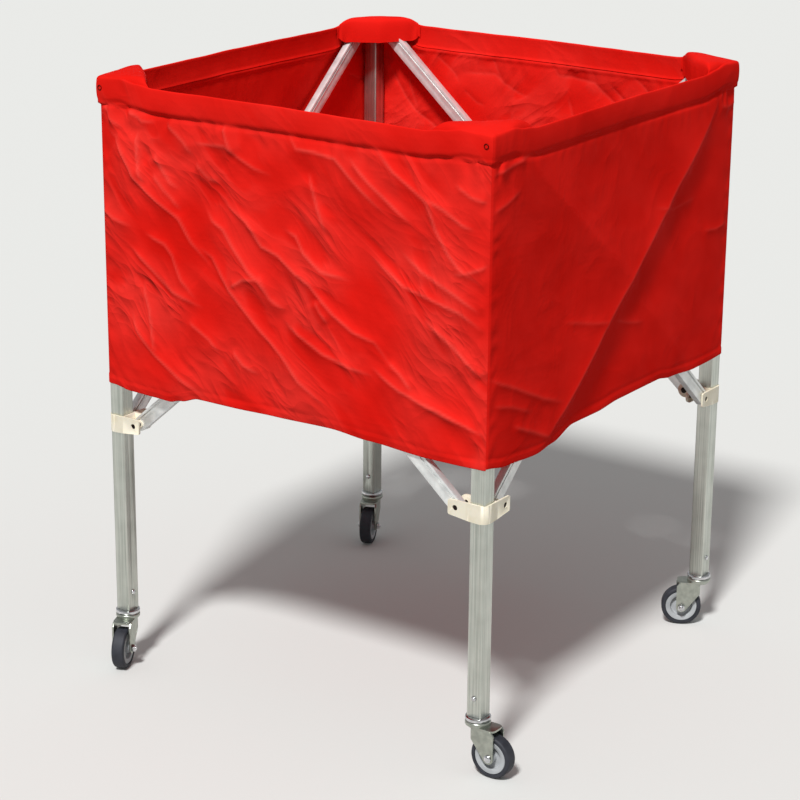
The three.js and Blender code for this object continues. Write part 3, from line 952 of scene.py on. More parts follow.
@dataclass
class Caster:
    """A swivel caster: plug and upper race, pressed fork with the lower race, axle, wheel and tyre."""

    trail: float = 27.0
    wheel: float = 32.5
    headings: tuple[float, ...] = (-67.5, 0.0, 210.0, -67.5)

    def stem(self) -> Piece:
        """Models the square plug in the leg, the pressed upper race under it and the kingpin's head.

        Returns:
            The stem, on its leg's axis.
        """
        stem = spun("stem", [
            (0, 69), (5.5, 69), (7, 70.2), (7, 72.4), (4.5, 72.4), (4.5, 83.6), (17.4, 83.6), (18.5, 84.0), (19, 85.0),
            (19, 87.6), (18.6, 88.6), (17.2, 89.4), (15.5, 89.7), (0, 89.7),
        ], steps=64)
        plug = block("plug", (-10.65, -10.65, 88.7), (10.65, 10.65, 127))
        round_uprights(plug, 0.8, 3)
        combine(stem, "UNION", plug)
        combine(stem, "DIFFERENCE", drill(SWAP, 0, Leg.rivet_height, Leg.rivet_hole, -12, 12))
        return soften(stem, 0.35, 2, 45)

    def fork(self) -> Piece:
        """Models the fork: deck, lower race and two tapering cheeks, drilled for kingpin and axle.

        Returns:
            The fork, with its swivel's axis through the origin.
        """
        top, plate, inside, side, corner = 76.5, 3.0, 12.6, 15.1, 9.0
        deck_plan = [
            (0, -side), *arc((35 - corner, -side + corner), corner, -90, 0, 8),
            *arc((35 - corner, side - corner), corner, 0, 90, 8), *arc((0, 0), side, 90, 270, 28)[:-1],
        ]
        deck = slab("fork", deck_plan, top - plate, top, STOOD_UP)
        race = spun("race", [
            (0, 76), (17.4, 76), (18.5, 76.4), (19, 77.4), (19, 80.8), (18.6, 81.8), (17.4, 82.6), (16, 82.8),
            (0, 82.8),
        ], steps=64)
        run, drop = self.trail + 2.5, 57 - self.wheel
        slope = math.degrees(math.atan2(drop, run) + math.asin(8.5 / math.hypot(drop, run)))
        cheek = [
            (-2.5, top - plate / 2), (-2.5, 57), *arc((self.trail, self.wheel), 8.5, 270 - slope, 360, 14),
            (self.trail + 8.5, top - plate - corner / 2), (self.trail + 8.5 - corner / 2, top - plate / 2),
        ]
        cheeks = [slab("cheek", cheek, low, high) for low, high in ((inside, side), (-side, -inside))]
        combine(deck, "UNION", race, *cheeks)
        bpy.ops.mesh.primitive_cylinder_add(vertices=48, radius=5.2 * MM, depth=16 * MM, location=(0, 0, 78 * MM))
        bpy.ops.object.transform_apply()
        combine(deck, "DIFFERENCE", named("bore"), drill(UPRIGHT, self.trail, self.wheel, 4, -20, 20))
        return soften(deck, 0.8, 3, 35)

    def axle(self) -> Piece:
        """Models the axle bolt with its domed head and its nut.

        Returns:
            The bolt and its nut, along y.
        """
        side = 15.4
        end = side + 6.4
        bolt = spun("axle", [
            (0, -side - 3.2), (2.0, -side - 3.1), (3.8, -side - 2.6), (5.2, -side - 1.7), (6, -side - 0.8), (6, -side),
            (3.6, -side), (3.6, end - 1), (2.8, end), (0, end),
        ], ON_Y, 40)
        deselect()
        bpy.ops.mesh.primitive_cylinder_add(vertices=6, radius=6.4 * MM, depth=4.4 * MM)
        combine(bolt, "UNION", outward(named("nut"), moved(0, side + 2.2, 0) @ ON_Y))
        return soften(bolt, 0.4, 2, 50)

    def centre(self) -> Piece:
        """Models the wheel's centre: a bored hub, a thin web and the broad ring that carries the tyre.

        Returns:
            The centre, with its axis along y.
        """
        half = [(8, -12), (8, -3.4), (8.6, -3), (16.6, -3), (17.3, -3.6), (18.0, -8.6), (18.8, -9.2), (24.9, -9.2),
                (25.6, -8.6)]
        profile = [(4, -12), *half, *((r, -z) for r, z in reversed(half)), (4, 12), (4, -12)]
        return soften(spun("wheel_centre", profile, ON_Y, 64), 0.4, 2, 45)

    def tyre(self) -> Piece:
        """Models the tyre: rounded shoulders, a flat tread and a lip against the ring.

        Returns:
            The tyre, with its axis along y.
        """
        side = [(26, -9.4), (26.4, -10), (28.2, -10), *arc((29, -6.5), 3.5, -90, 0, 8), (32.5, -4.0)]
        profile = [*side, *((r, -z) for r, z in reversed(side)), (26, -9.4)]
        return smooth(spun("tyre", profile, ON_Y, 96), 40)

    def build(self, finishes: Finishes) -> None:
        """Makes the four casters, each turned to its own heading.

        Args:
            finishes: The cart's materials.
        """
        stem, hub = self.stem(), moved(self.trail, 0, self.wheel)
        turning = (
            (self.fork(), UPRIGHT, "caster_fork", "fork", "fork", "fork", finishes.zinc),
            (self.axle(), hub, "axle_bolt", "axle", "axle", "fork", finishes.bright),
            (self.centre(), hub, "wheel_centre", "wheel", "wheel_centre", "wheel", finishes.centre),
            (self.tyre(), hub, "wheel_tyre", "tyre", "tyre", "wheel", finishes.rubber),
        )
        for corner in Corner:
            label, place = corner.label, corner.place()
            piece = placed(stem, f"stem_plug_{label}", place)
            dress(piece, finishes.bright, "race", f"leg_{label}", f"caster_stem_{label}")
            heading = Matrix.Rotation(math.radians(self.headings[corner.value]), 4, "Z")
            heading = Matrix.Translation(place.to_translation()) @ heading
            for master, own, name, node, slot, body, finish in turning:
                piece = placed(master, f"{name}_{label}", heading @ own)
                dress(piece, finish, slot, f"{body}_{label}", f"{node}_{label}")
        scrap(stem, *(row[0] for row in turning))


# Cloth

CLOTH = 0.9  # the cloth's thickness


def eased(low: float, high: float, values: np.ndarray | float) -> np.ndarray | float:
    """Goes smoothly from 0 at low to 1 at high."""
    share = np.clip((values - low) / (high - low), 0, 1)
    return share * share * (3 - 2 * share)


def bells(values: np.ndarray | float, width: float) -> np.ndarray | float:
    """A bell curve of height 1 and that half width."""
    return np.exp(-((values / width) ** 2))


def between(values: np.ndarray | float, points: tuple[tuple[float, float], ...]) -> np.ndarray | float:
    """Reads a smooth curve through points.

    Args:
        values: Where to read it.
        points: Places and heights, in order of place.

    Returns:
        The curve's heights there.
    """
    rises = ((high - low) * eased(a, b, values) for (a, low), (b, high) in zip(points, points[1:]))
    return points[0][1] + sum(rises)


def rough(x: np.ndarray, y: np.ndarray, seed: float) -> np.ndarray:
    """Smooth noise from -1 to 1 over a grid."""
    spots = zip(x.ravel().tolist(), y.ravel().tolist())
    return np.array([noise.noise(Vector((u, v, seed))) for u, v in spots]).reshape(x.shape)


def sheet_of(name: str, points: np.ndarray, flat: np.ndarray, size: tuple[int, int], place: Matrix) -> Piece:
    """Shapes a grid into a sheet of cloth, with the flat cloth's own sizes as its UV map.

    Args:
        name: The sheet's name.
        points: The grid's points in millimetres, row by row.
        flat: Each point's place on the flat cloth, in metres.
        size: The numbers of columns and rows.
        place: Where the sheet goes.

    Returns:
        The sheet, one face thick.
    """
    deselect()
    bpy.ops.mesh.primitive_grid_add(x_subdivisions=size[0] - 1, y_subdivisions=size[1] - 1, size=1, calc_uvs=True)
    sheet = named(name)
    sheet.data.vertices.foreach_set("co", (points * MM).astype(np.float32).ravel())
    sheet.data.transform(place)
    corners = np.zeros(len(sheet.data.loops), np.int32)
    sheet.data.loops.foreach_get("vertex_index", corners)
    sheet.data.uv_layers[0].data.foreach_set("uv", flat[corners].astype(np.float32).ravel())
    sheet.data.update()
    return sheet


def thicken(sheet: Piece, degrees: float, **settings: object) -> Piece:
    """Gives a sheet the cloth's thickness, and shades it smooth up to an angle."""
    modify(sheet, "SOLIDIFY", thickness=CLOTH * MM, offset=0.0, **settings)
    return smooth(sheet, degrees)


def draw_in(sheet: Piece) -> None:
    """Gives a sheet its own copy of its mesh."""
    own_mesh(sheet)


@dataclass(frozen=True)
class Fold:
    """A fold line in a wall's cloth: a shelf that rises from above to a crest and falls back slowly below it."""

    height: float
    path: tuple[tuple[float, float], ...]
    above: float = 11.0
    spread: float = 3.4  # width of the slope below the crest, as a share of that above it
    crest: float = 2.2
    hollow: float = 0.0  # how far the cloth sinks below the crest, as a share of the height
    pinch: float = 0.3  # the sharp crease's share of the height

    def nearest(self, along: np.ndarray, up: np.ndarray) -> tuple[np.ndarray, np.ndarray, np.ndarray]:
        """Finds how far each point is from the fold's line.

        Args:
            along: Distances along the wall, in millimetres.
            up: Heights above the floor, in millimetres.

        Returns:
            The distances, which side of the line each point is on, and how strong the fold is there, which dies
            out towards its ends.
        """
        near = np.full(along.shape, 1e9)
        side, share = np.zeros(along.shape), np.zeros(along.shape)
        lengths = [math.dist(a, b) for a, b in zip(self.path, self.path[1:])]
        done = 0.0
        for (x0, z0), (x1, z1), length in zip(self.path, self.path[1:], lengths):
            dx, dz = x1 - x0, z1 - z0
            t = np.clip(((along - x0) * dx + (up - z0) * dz) / length**2, 0, 1)
            ex, ez = along - x0 - t * dx, up - z0 - t * dz
            distance = np.hypot(ex, ez)
            closer = distance < near
            near = np.where(closer, distance, near)
            side = np.where(closer, dx * ez - dz * ex, side)
            share = np.where(closer, (done + t * length) / sum(lengths), share)
            done += length
        return near, side, eased(0, 0.22, share) * (1 - eased(0.72, 1, share))

    def lift(self, along: np.ndarray, up: np.ndarray) -> np.ndarray:
        """How far the fold lifts the cloth outwards.

        Args:
            along: Distances along the wall, in millimetres.
            up: Heights above the floor, in millimetres.

        Returns:
            The lift in millimetres at each point.
        """
        near, side, fade = self.nearest(along, up)
        below = self.above * self.spread
        width = np.where(side > 0, self.above, below)
        rise = np.exp(-(np.sqrt(near**2 + self.crest**2) - self.crest) / width)
        crease = np.exp(-(np.sqrt(near**2 + 0.36) - 0.6) / np.where(side > 0, 5.5, 4.5))
        dip = np.where(side < 0, self.hollow * bells(near - 3 * below, 1.6 * below), 0)
        return self.height * fade * ((1 - self.pinch) * rise + self.pinch * crease - dip)

    def line(self, along: np.ndarray, up: np.ndarray) -> np.ndarray:
        """How much the crest's sharp line shows at each point, from 0 to 1, as the mask of the cloth's painted
        highlight.
        """
        near, _, fade = self.nearest(along, up)
        return fade * bells(near, 2.2) * min(1.0, self.pinch * self.height)


# The long folds that the cloth keeps from how it was packed, in millimetres along and up the wall
PACKED_FOLDS = (
    Fold(4.2, ((8, 872), (45, 855), (75, 810), (92, 790), (125, 770), (160, 748), (185, 715), (215, 690), (234, 680))),
    Fold(4.6, ((185, 716), (225, 700), (255, 655), (300, 615), (350, 572), (375, 540), (420, 510), (440, 500))),
    Fold(3.0, ((80, 872), (85, 830), (101, 786))),
    Fold(3.0, ((110, 842), (145, 800), (160, 790))),
    Fold(2.6, ((112, 812), (150, 775), (163, 758))),
    Fold(2.8, ((130, 890), (170, 862), (184, 842))),
    Fold(2.2, ((186, 838), (215, 817), (237, 812)), 8),
    Fold(4.4, ((222, 808), (255, 778), (285, 762), (310, 730), (340, 722), (375, 700), (400, 688), (440, 650),
               (470, 632), (510, 622), (535, 595), (562, 578))),
    Fold(3.6, ((203, 778), (225, 755), (245, 745), (262, 722), (290, 690), (310, 678), (335, 650), (352, 640)), 9),
    Fold(3.0, ((253, 658), (280, 675), (312, 681)), 8, 1.0),
    Fold(2.8, ((180, 864), (250, 868), (270, 855), (300, 842), (334, 834)), 16),
    Fold(2.6, ((243, 900), (258, 868), (268, 856)), 8),
    Fold(3.4, ((352, 908), (372, 880), (400, 880), (440, 875), (462, 858), (510, 820), (534, 806)), 12),
    Fold(2.8, ((392, 852), (410, 800), (428, 758)), 9),
    Fold(4.0, ((500, 910), (540, 870), (570, 850), (590, 835), (605, 800), (628, 768), (645, 752), (694, 728))),
    Fold(3.2, ((462, 884), (500, 850), (540, 820), (574, 796)), 8),
    Fold(3.2, ((584, 842), (620, 828), (650, 812), (676, 806)), 10),
    Fold(3.2, ((346, 762), (375, 755), (390, 730), (420, 710), (474, 703)), 9),
    Fold(3.6, ((498, 750), (560, 712), (600, 702), (650, 690), (696, 664)), 12),
    Fold(3.0, ((548, 764), (590, 735), (645, 712), (690, 690)), 9),
    Fold(4.6, ((345, 630), (380, 610), (420, 590), (470, 577), (515, 571)), 18),
    Fold(4.0, ((500, 588), (552, 560), (600, 545), (650, 530), (668, 520)), 16),
    Fold(3.2, ((560, 556), (620, 542), (690, 520), (704, 514)), 8),
    Fold(3.8, ((590, 672), (640, 640), (676, 608), (690, 602)), 10),
    Fold(1.0, ((668, 616), (684, 604), (698, 612)), 8, 1.0),
    Fold(3.2, ((55, 694), (110, 662), (150, 635), (206, 616)), 8),
    Fold(2.8, ((82, 718), (130, 705), (147, 690), (165, 655), (194, 624)), 9),
    Fold(2.8, ((83, 645), (100, 600), (105, 560), (112, 524)), 12),
    Fold(4.4, ((55, 596), (80, 560), (110, 530), (160, 500), (206, 478)), 20),
    Fold(2.8, ((252, 566), (275, 545), (306, 535)), 7),
    Fold(2.6, ((172, 596), (215, 572), (232, 552)), 10),
    Fold(2.4, ((0, 744), (30, 730), (64, 722)), 10),
    Fold(2.4, ((305, 690), (330, 655), (356, 640)), 7),
    Fold(2.4, ((408, 668), (418, 650), (432, 634)), 7),
    Fold(2.8, ((530, 600), (552, 584), (575, 560)), 7),
    Fold(2.4, ((10, 905), (30, 880), (52, 868)), 7),
    Fold(2.4, ((60, 900), (92, 884), (116, 886)), 7),
    Fold(2.6, ((636, 742), (664, 748), (702, 762)), 8),
    Fold(2.4, ((636, 868), (664, 852), (698, 846)), 7),
)
# The walls drawn smooth over the bars: the rising bar's edge stands out, the falling one's shows faintly
SMOOTH_FOLDS = (
    Fold(9.0, ((110, 440), (200, 510), (250, 558), (400, 690), (500, 780), (600, 860), (680, 925)),
         80, 0.28, 2.0, 0.2, 0.1),
    Fold(4.6, ((30, 950), (100, 885), (200, 805), (290, 728), (400, 640)), 22, 1.8, 5, 0, 0),
    Fold(2.4, ((380, 650), (460, 580), (570, 470)), 20, 1.7, 6, 0, 0),
    Fold(2.4, ((0, 884), (40, 890), (96, 902)), 9, 0.7),
    Fold(1.8, ((4, 832), (40, 842), (74, 856)), 9, 0.7),
    Fold(2.4, ((-4, 604), (60, 578), (140, 540), (206, 518)), 9, 0.8),
    Fold(3.0, ((60, 520), (110, 498), (176, 470)), 12, 0.7),
    Fold(1.8, ((10, 560), (60, 548), (120, 524)), 9, 0.8),
    Fold(1.8, ((600, 690), (650, 684), (704, 690)), 12, 0.75),
    Fold(1.8, ((330, 612), (380, 596), (430, 584)), 12, 0.75),
    Fold(1.6, ((190, 640), (270, 620), (330, 610)), 14, 0.7),
    Fold(1.8, ((640, 880), (668, 872), (704, 880)), 7, 0.85),
    Fold(1.5, ((430, 760), (500, 744), (590, 748)), 16, 0.75),
)


@dataclass
class BagWall:
    """One wall of the bag: a sheet folded over at the rim and at the hem, hung round the posts."""

    side: Side
    anchor: Corner  # the corner whose leg carries the wall
    wrinkle: float  # height of the small creases between the folds
    slope: float  # their direction along the wall, in radians
    seed: float
    hem: tuple[tuple[float, float], ...]
    folds: tuple[Fold, ...]
    mirrored: bool = False
    depth: float = 1.0
    swell: float = 1.0
    gathers: float = 0.7
    creases: float = 0.9
    wear: float = 0.16  # how strongly a paler highlight is painted along the folds' crests
    half: float = 350.0
    radius: float = 5.5
    hem_height: float = 464.0
    height: float = 473.0  # from the hem to the rim
    rim_flap: float = 34.0
    hem_flap: float = 12.0
    turn: float = 4.0  # the cloth that each fold takes
    fold: float = 1.3  # the hem fold's radius
    cell: float = 2.9
    rim: tuple[tuple[float, float], ...] = (
        (0, 940.5), (22, 941.5), (48, 942.5), (80, 937.5), (112, 934.0), (350, 935.5),
        (588, 934.0), (620, 937.5), (652, 942.5), (678, 941.5), (700, 940.5),
    )

    def layout(self) -> tuple[np.ndarray, list[tuple[str, float]]]:
        """Places the columns along the wall, and the rows up the inside of the hem, the outside and the rim.

        Returns:
            The columns' distances along the wall, and each row's kind and share.
        """
        columns = np.linspace(0, 2 * self.half, round(2 * self.half / self.cell) + 1)
        turns = [i / 6 for i in range(7)]
        body = round(self.height / self.cell)
        kinds = {
            "hem_flap": (1.0, 0.8, 0.55, 0.3, 0.1),
            "hem_turn": turns,
            "wall": [i / body for i in range(1, body)],
            "rim_turn": turns,
            "rim_flap": (0.08, 0.2, 0.32, 0.44, 0.56, 0.68, 0.78, 0.86, 0.93, 1.0),
        }
        return columns, [(kind, share) for kind, shares in kinds.items() for share in shares]

    def near(self, along: np.ndarray) -> np.ndarray:
        """Distances from the nearer end of the wall."""
        return np.minimum(along, 2 * self.half - along)

    def out(self, along: np.ndarray, up: np.ndarray, rim: np.ndarray, hem: np.ndarray) -> np.ndarray:
        """How far the cloth stands out from the cart's middle.

        Args:
            along: Distances along the wall, in millimetres.
            up: Heights above the floor.
            rim: The rim's height at each point.
            hem: The hem's height at each point.

        Returns:
            The cloth's distance from the middle of the cart, in millimetres.
        """
        near = self.near(along)
        # Heights from the rim band's lower edge, where the band is sewn down
        seam = up - (rim - self.rim_flap - 1)
        band = eased(-4, 3, seam)
        reach = 349.0 - 2.6 * bells(near, 34) + (2.4 + 0.9 * bells(near, 60)) * band
        reach += 1.3 * band * np.clip(1 - ((seam - 17) / 18) ** 2, 0, 1)
        reach -= 2.4 * bells(seam + 4, 3.4) * eased(0, 6, near)
        # Puckers that the seam gathers, and more of them where the corner is drawn in under the cap
        wave = np.sin(along / 4.4 + 4 * rough(along / 46, up / 90, self.seed + 2))
        gather = self.gathers * bells(seam + 12, 12) + 1.5 * bells(seam + 16, 18) * bells(near - 24, 34)
        # Short ripples that the corner's upright seam draws in
        ripple = np.sin(up / 5.6 + 5 * rough(along / 60, up / 52, self.seed + 9)) * bells(near - 9, 11)
        # Small creases between the folds, a slow swell and the folds themselves
        x, z, warp = self.pattern(along, up)
        sine, cosine = math.sin(self.slope), math.cos(self.slope)
        tx, tz = x * cosine + z * sine, -x * sine + z * cosine
        planes = rough(tx / 110, (tz + warp) / 36, self.seed)
        minor = 0.5 - np.abs(rough((tx + warp) / 52, (tz + warp) / 19, self.seed + 3)) * 2.2
        patch = np.clip(0.4 + 1.3 * rough(x / 120, z / 110, self.seed + 11), 0, 1)
        crumple = self.wrinkle * (planes + 0.3 * patch * minor)
        swell = self.swell * rough(x / 190, z / 150, self.seed + 5)
        lift = self.depth * sum(fold.lift(x + 0.3 * warp, z) for fold in self.folds)
        relief = crumple + swell + lift + gather * wave + 0.8 * ripple * (1 - band)
        free = eased(1, 16, near) * (1 - 0.85 * band) * eased(0, 14, up - hem)
        reach += free * relief + (1 - free) * 0.25 * lift * eased(2, 14, near)
        # The hem's turning is thicker, with a shallow groove where it is sewn
        reach += 0.5 * (1 - eased(self.hem_flap - 2, self.hem_flap + 1, up - hem))
        reach -= 0.8 * bells(up - hem - self.hem_flap - 1.5, 2.0) * eased(0, 8, near)
        return np.maximum(reach, self.least(along, up))

    def pattern(self, along: np.ndarray, up: np.ndarray) -> tuple[np.ndarray, np.ndarray, np.ndarray]:
        """Where each point lies on the pattern of folds, and how far the pattern wanders there."""
        x = 2 * self.half - along if self.mirrored else along
        return x, up, 18 * rough(x / 110, up / 110, self.seed + 7)

    def least(self, along: np.ndarray, up: np.ndarray) -> np.ndarray:
        """How far in the cloth may go before it meets the frame under it.

        Args:
            along: Distances along the wall, in millimetres.
            up: Heights above the floor.

        Returns:
            The least distance from the middle of the cart at each point, in millimetres.
        """
        near = self.near(along)
        rise = (PIVOT_HIGH - PIVOT_LOW) / (2 * self.half - 106)
        falling = np.abs(up - (PIVOT_HIGH - (along - 53) * rise)) * math.cos(math.atan(rise))
        crossing = np.hypot(along - self.half, up - (PIVOT_LOW + PIVOT_HIGH) / 2)
        over_bar = 346.1 - 0.16 * np.maximum(0, falling - 11)
        over_post = 345.9 - 0.25 * np.maximum(0, near - 30)
        over_ear = np.where((up > 901) & (near < 70), 349.6, 0)
        over_rivet = 348.2 - 0.12 * np.maximum(0, crossing - 6)
        return np.maximum.reduce([np.full(up.shape, 337.0), over_bar, over_post, over_ear, over_rivet])

    def foot(self) -> tuple[np.ndarray, np.ndarray, np.ndarray]:
        """The line just above the hem where the floor is sewn on.

        Returns:
            Distances along the wall, the line's heights, and how far out the cloth's inner face is, in millimetres.
        """
        along = np.linspace(0, 2 * self.half, 141)
        hem = self.hem_height + between(along, self.hem)
        up = hem + self.hem_flap + 3.5
        return along, up, self.out(along, up, between(along, self.rim), hem) - CLOTH / 2

    def surface(self) -> tuple[np.ndarray, np.ndarray, tuple[int, int]]:
        """Works out the folded sheet.

        Returns:
            The front side's points in millimetres, each point's place on the flat cloth in metres, and the
            numbers of columns and rows.
        """
        columns, rows = self.layout()
        rim, hem = between(columns, self.rim), self.hem_height + between(columns, self.hem)
        rim += 0.9 * rough(columns / 60, columns * 0, self.seed + 1)
        near, level = self.near(columns), np.zeros(columns.shape)
        round_rim = self.fold + 3.2 * bells(near, 48)
        flap = 2 + (self.rim_flap - 2) * eased(68, 94, near)
        high, low = rim - round_rim, hem + self.fold
        lines = []
        for kind, share in rows:
            sine, cosine = math.sin(math.pi * share), math.cos(math.pi * share)
            # Each row's height, how far it is inside the outer face, and where it lies on the flat cloth
            if kind == "hem_flap":
                row = low + share * self.hem_flap, level + 2 * self.fold, self.hem_flap * (1 - share)
            elif kind == "hem_turn":
                row = low - self.fold * sine, level + self.fold * (1 + cosine), self.hem_flap + self.turn * share
            elif kind == "wall":
                row = low + share * (high - low), level, self.hem_flap + self.turn + share * self.height
            elif kind == "rim_turn":
                cut = self.hem_flap + self.height + self.turn * (1 + share)
                row = high + round_rim * sine, round_rim * (1 - cosine), cut
            else:
                cut = self.hem_flap + self.height + 2 * self.turn + share * self.rim_flap
                row = high - share * flap, 2 * round_rim, cut
            lines.append(row)
        up, inward, cuts = (np.array(part) for part in zip(*lines))
        along, rim, hem, near = (np.broadcast_to(line, up.shape) for line in (columns, rim, hem, near))
        reach = self.out(along, np.clip(up, low, high), rim, hem) - inward
        # The last few millimetres turn the corner, up to the diagonal where the next wall begins
        turning = near < self.radius
        angle = np.where(turning, QUARTER / 2 * (1 - near / self.radius), 0)
        centre = reach - self.radius
        straight = (self.half - near) * centre / (self.half - self.radius)
        x = np.copysign(np.where(turning, centre + self.radius * np.sin(angle), straight), along - self.half)
        y = -(centre + self.radius * np.cos(angle))
        points = np.stack([x, y, up], -1).reshape(-1, 3)
        flat = np.stack([along, np.broadcast_to(cuts[:, None], up.shape)], -1).reshape(-1, 2) * MM
        return points, flat, (len(columns), len(rows))

    def build(self, cloth: Material, *nodes: str) -> None:
        """Makes the wall and lets it ride on its anchor corner's leg.

        Args:
            cloth: The bag's material.
            nodes: The CAD nodes that this wall stands for.
        """
        points, flat, size = self.surface()
        wall = sheet_of(f"bag_wall_{self.side.label}", points, flat, size, self.side.turn)
        amount = self.creases * np.clip(0.5 + 1.2 * rough(flat[:, 0] * 9, flat[:, 1] * 9, self.seed + 21), 0, 1)
        below_band = flat[:, 1] / MM < self.hem_flap + self.turn + self.height - self.rim_flap
        x, z, warp = self.pattern(flat[:, 0] / MM, points[:, 2])
        # The crests' mask for the highlight that the cloth paints paler along the folds, below the rim band
        crest = self.depth * below_band * np.maximum.reduce([fold.line(x + 0.3 * warp, z) for fold in self.folds])
        for kind, values in (("creased", amount * np.where(below_band, 1, 0.4)), ("crest", self.wear * crest)):
            wall.data.attributes.new(kind, "FLOAT", "POINT").data.foreach_set("value", values.astype(np.float32))
        thicken(wall, 70, use_even_offset=True)
        dress(wall, cloth, "cloth", f"leg_{self.anchor.label}", *nodes)
        draw_in(wall)


@dataclass
class CornerCap:
    """The sewn cap over a corner bracket: a soft dome from the rim, with a skirt hung inside the bag."""

    corner: Corner
    leg: float = 100.4
    edge: float = -16.4
    # Half of the long edge's plan: flat against the wall, clear round the bracket's ears, to the diagonal
    plan: tuple[tuple[float, float], ...] = ((84, -15.0), (81, -15.2), (77, -12.5), (70, -3), (56, 14), (37, 36))
    skirt: float = 33.0
    dome: float = 6.5
    flat: tuple[float, float] = (201.0, 110.0)
    across: int = 56
    down: int = 46

    def rail(self, share: float) -> list[Vector]:
        """The points that one strip of the cap bends through, from its outer edge to the skirt's foot.

        Args:
            share: From 0 at one side's end to 1 at the other's.

        Returns:
            The points round the first corner, in millimetres.
        """
        soften_by = 0.05
        ways = [0.5 * (t + math.sqrt(t * t + soften_by**2)) for t in (1 - 2 * share, 2 * share - 1)]
        outer = Vector((self.edge + self.leg * ways[0], self.edge + self.leg * ways[1]))
        half = [Vector((x, y, 0)) for x, y in self.plan]
        inner = self.along(half + [Vector((v.y, v.x, 0)) for v in reversed(half)], share).to_2d()
        end, bow = min(share, 1 - share), math.sin(math.pi * share)
        near = self.leg * max(ways) + 2
        rim = between(min(near, 110), BagWall.rim)
        top = rim - 1.8 * (1 - eased(0, 0.14, end))
        seed = self.corner.value * 9.0
        pull = noise.noise(Vector((share * 5, 0.3, seed)))
        tuck = math.sin(share * 37 + seed) * bells(end - 0.2, 0.1)
        heights = [
            (0.0, -0.7), (0.12, 0.7 + 0.4 * bow), (0.45, self.dome * bow * 0.8 + 0.6), (0.75, self.dome * bow + pull),
            (0.96, self.dome * bow * 0.9 + 0.4 * pull), (1.0, -6.0 * bow - 2.0),
        ]
        # The edge's seam allowance is tucked into the rim, so that the rim still covers it when the frame folds
        tucked = outer + (inner - outer).normalized() * (1.0 + 0.4 * bells(share - 0.5, 0.05))
        spots = [(tucked, 934.2 - 8 * eased(64, 72, near)), (tucked, top - 3)]
        spots += [(outer.lerp(inner, along), top + height) for along, height in heights]
        for part in (0.45, 0.75, 1.0):
            sway = (1.5 * pull + 2.2 * tuck) * part + 1.5 * bow * part
            drop = self.skirt * part * (0.6 + 0.4 * eased(0.06, 0.26, end))
            spot = inner + Vector((1, 1)).normalized() * sway * min(1.0, bow * 2)
            spots.append((spot, rim - drop + 0.8 * tuck))
        return [Vector((spot.x, spot.y, height)) for spot, height in spots]

    def along(self, points: list[Vector], share: float) -> Vector:
        """Reads a smooth curve near points, like cloth that can't turn sharply.

        Args:
            points: The points that the curve bends through.
            share: From 0 at the first point to 1 at the last.

        Returns:
            The curve's point there.
        """
        padded = [2 * points[0] - points[1], *points, 2 * points[-1] - points[-2]]
        place = min(share * (len(points) - 1), len(points) - 1 - 1e-6)
        k, t = int(place), place - int(place)
        a, b, c, d = padded[k : k + 4]
        ends = a * (1 - t) ** 3 + d * t**3
        return (ends + b * (3 * t**3 - 6 * t**2 + 4) + c * (-3 * t**3 + 3 * t**2 + 3 * t + 1)) / 6

    def build(self, cloth: Material) -> None:
        """Makes the cap and lets it ride on its leg.

        Args:
            cloth: The bag's material.
        """
        label, size = self.corner.label, (self.across + 1, self.down + 1)
        rails = [self.rail(i / self.across) for i in range(size[0])]
        points = np.array([[tuple(self.along(rail, j / self.down)) for rail in rails] for j in range(size[1])])
        grid = np.meshgrid(*(np.linspace(0, length, count) for length, count in zip(self.flat, size)))
        flat = np.stack(grid, -1).reshape(-1, 2) * MM
        cap = thicken(sheet_of(f"bag_cap_{label}", points.reshape(-1, 3), flat, size, self.corner.place()), 70)
        dress(cap, cloth, "cloth", f"leg_{label}")


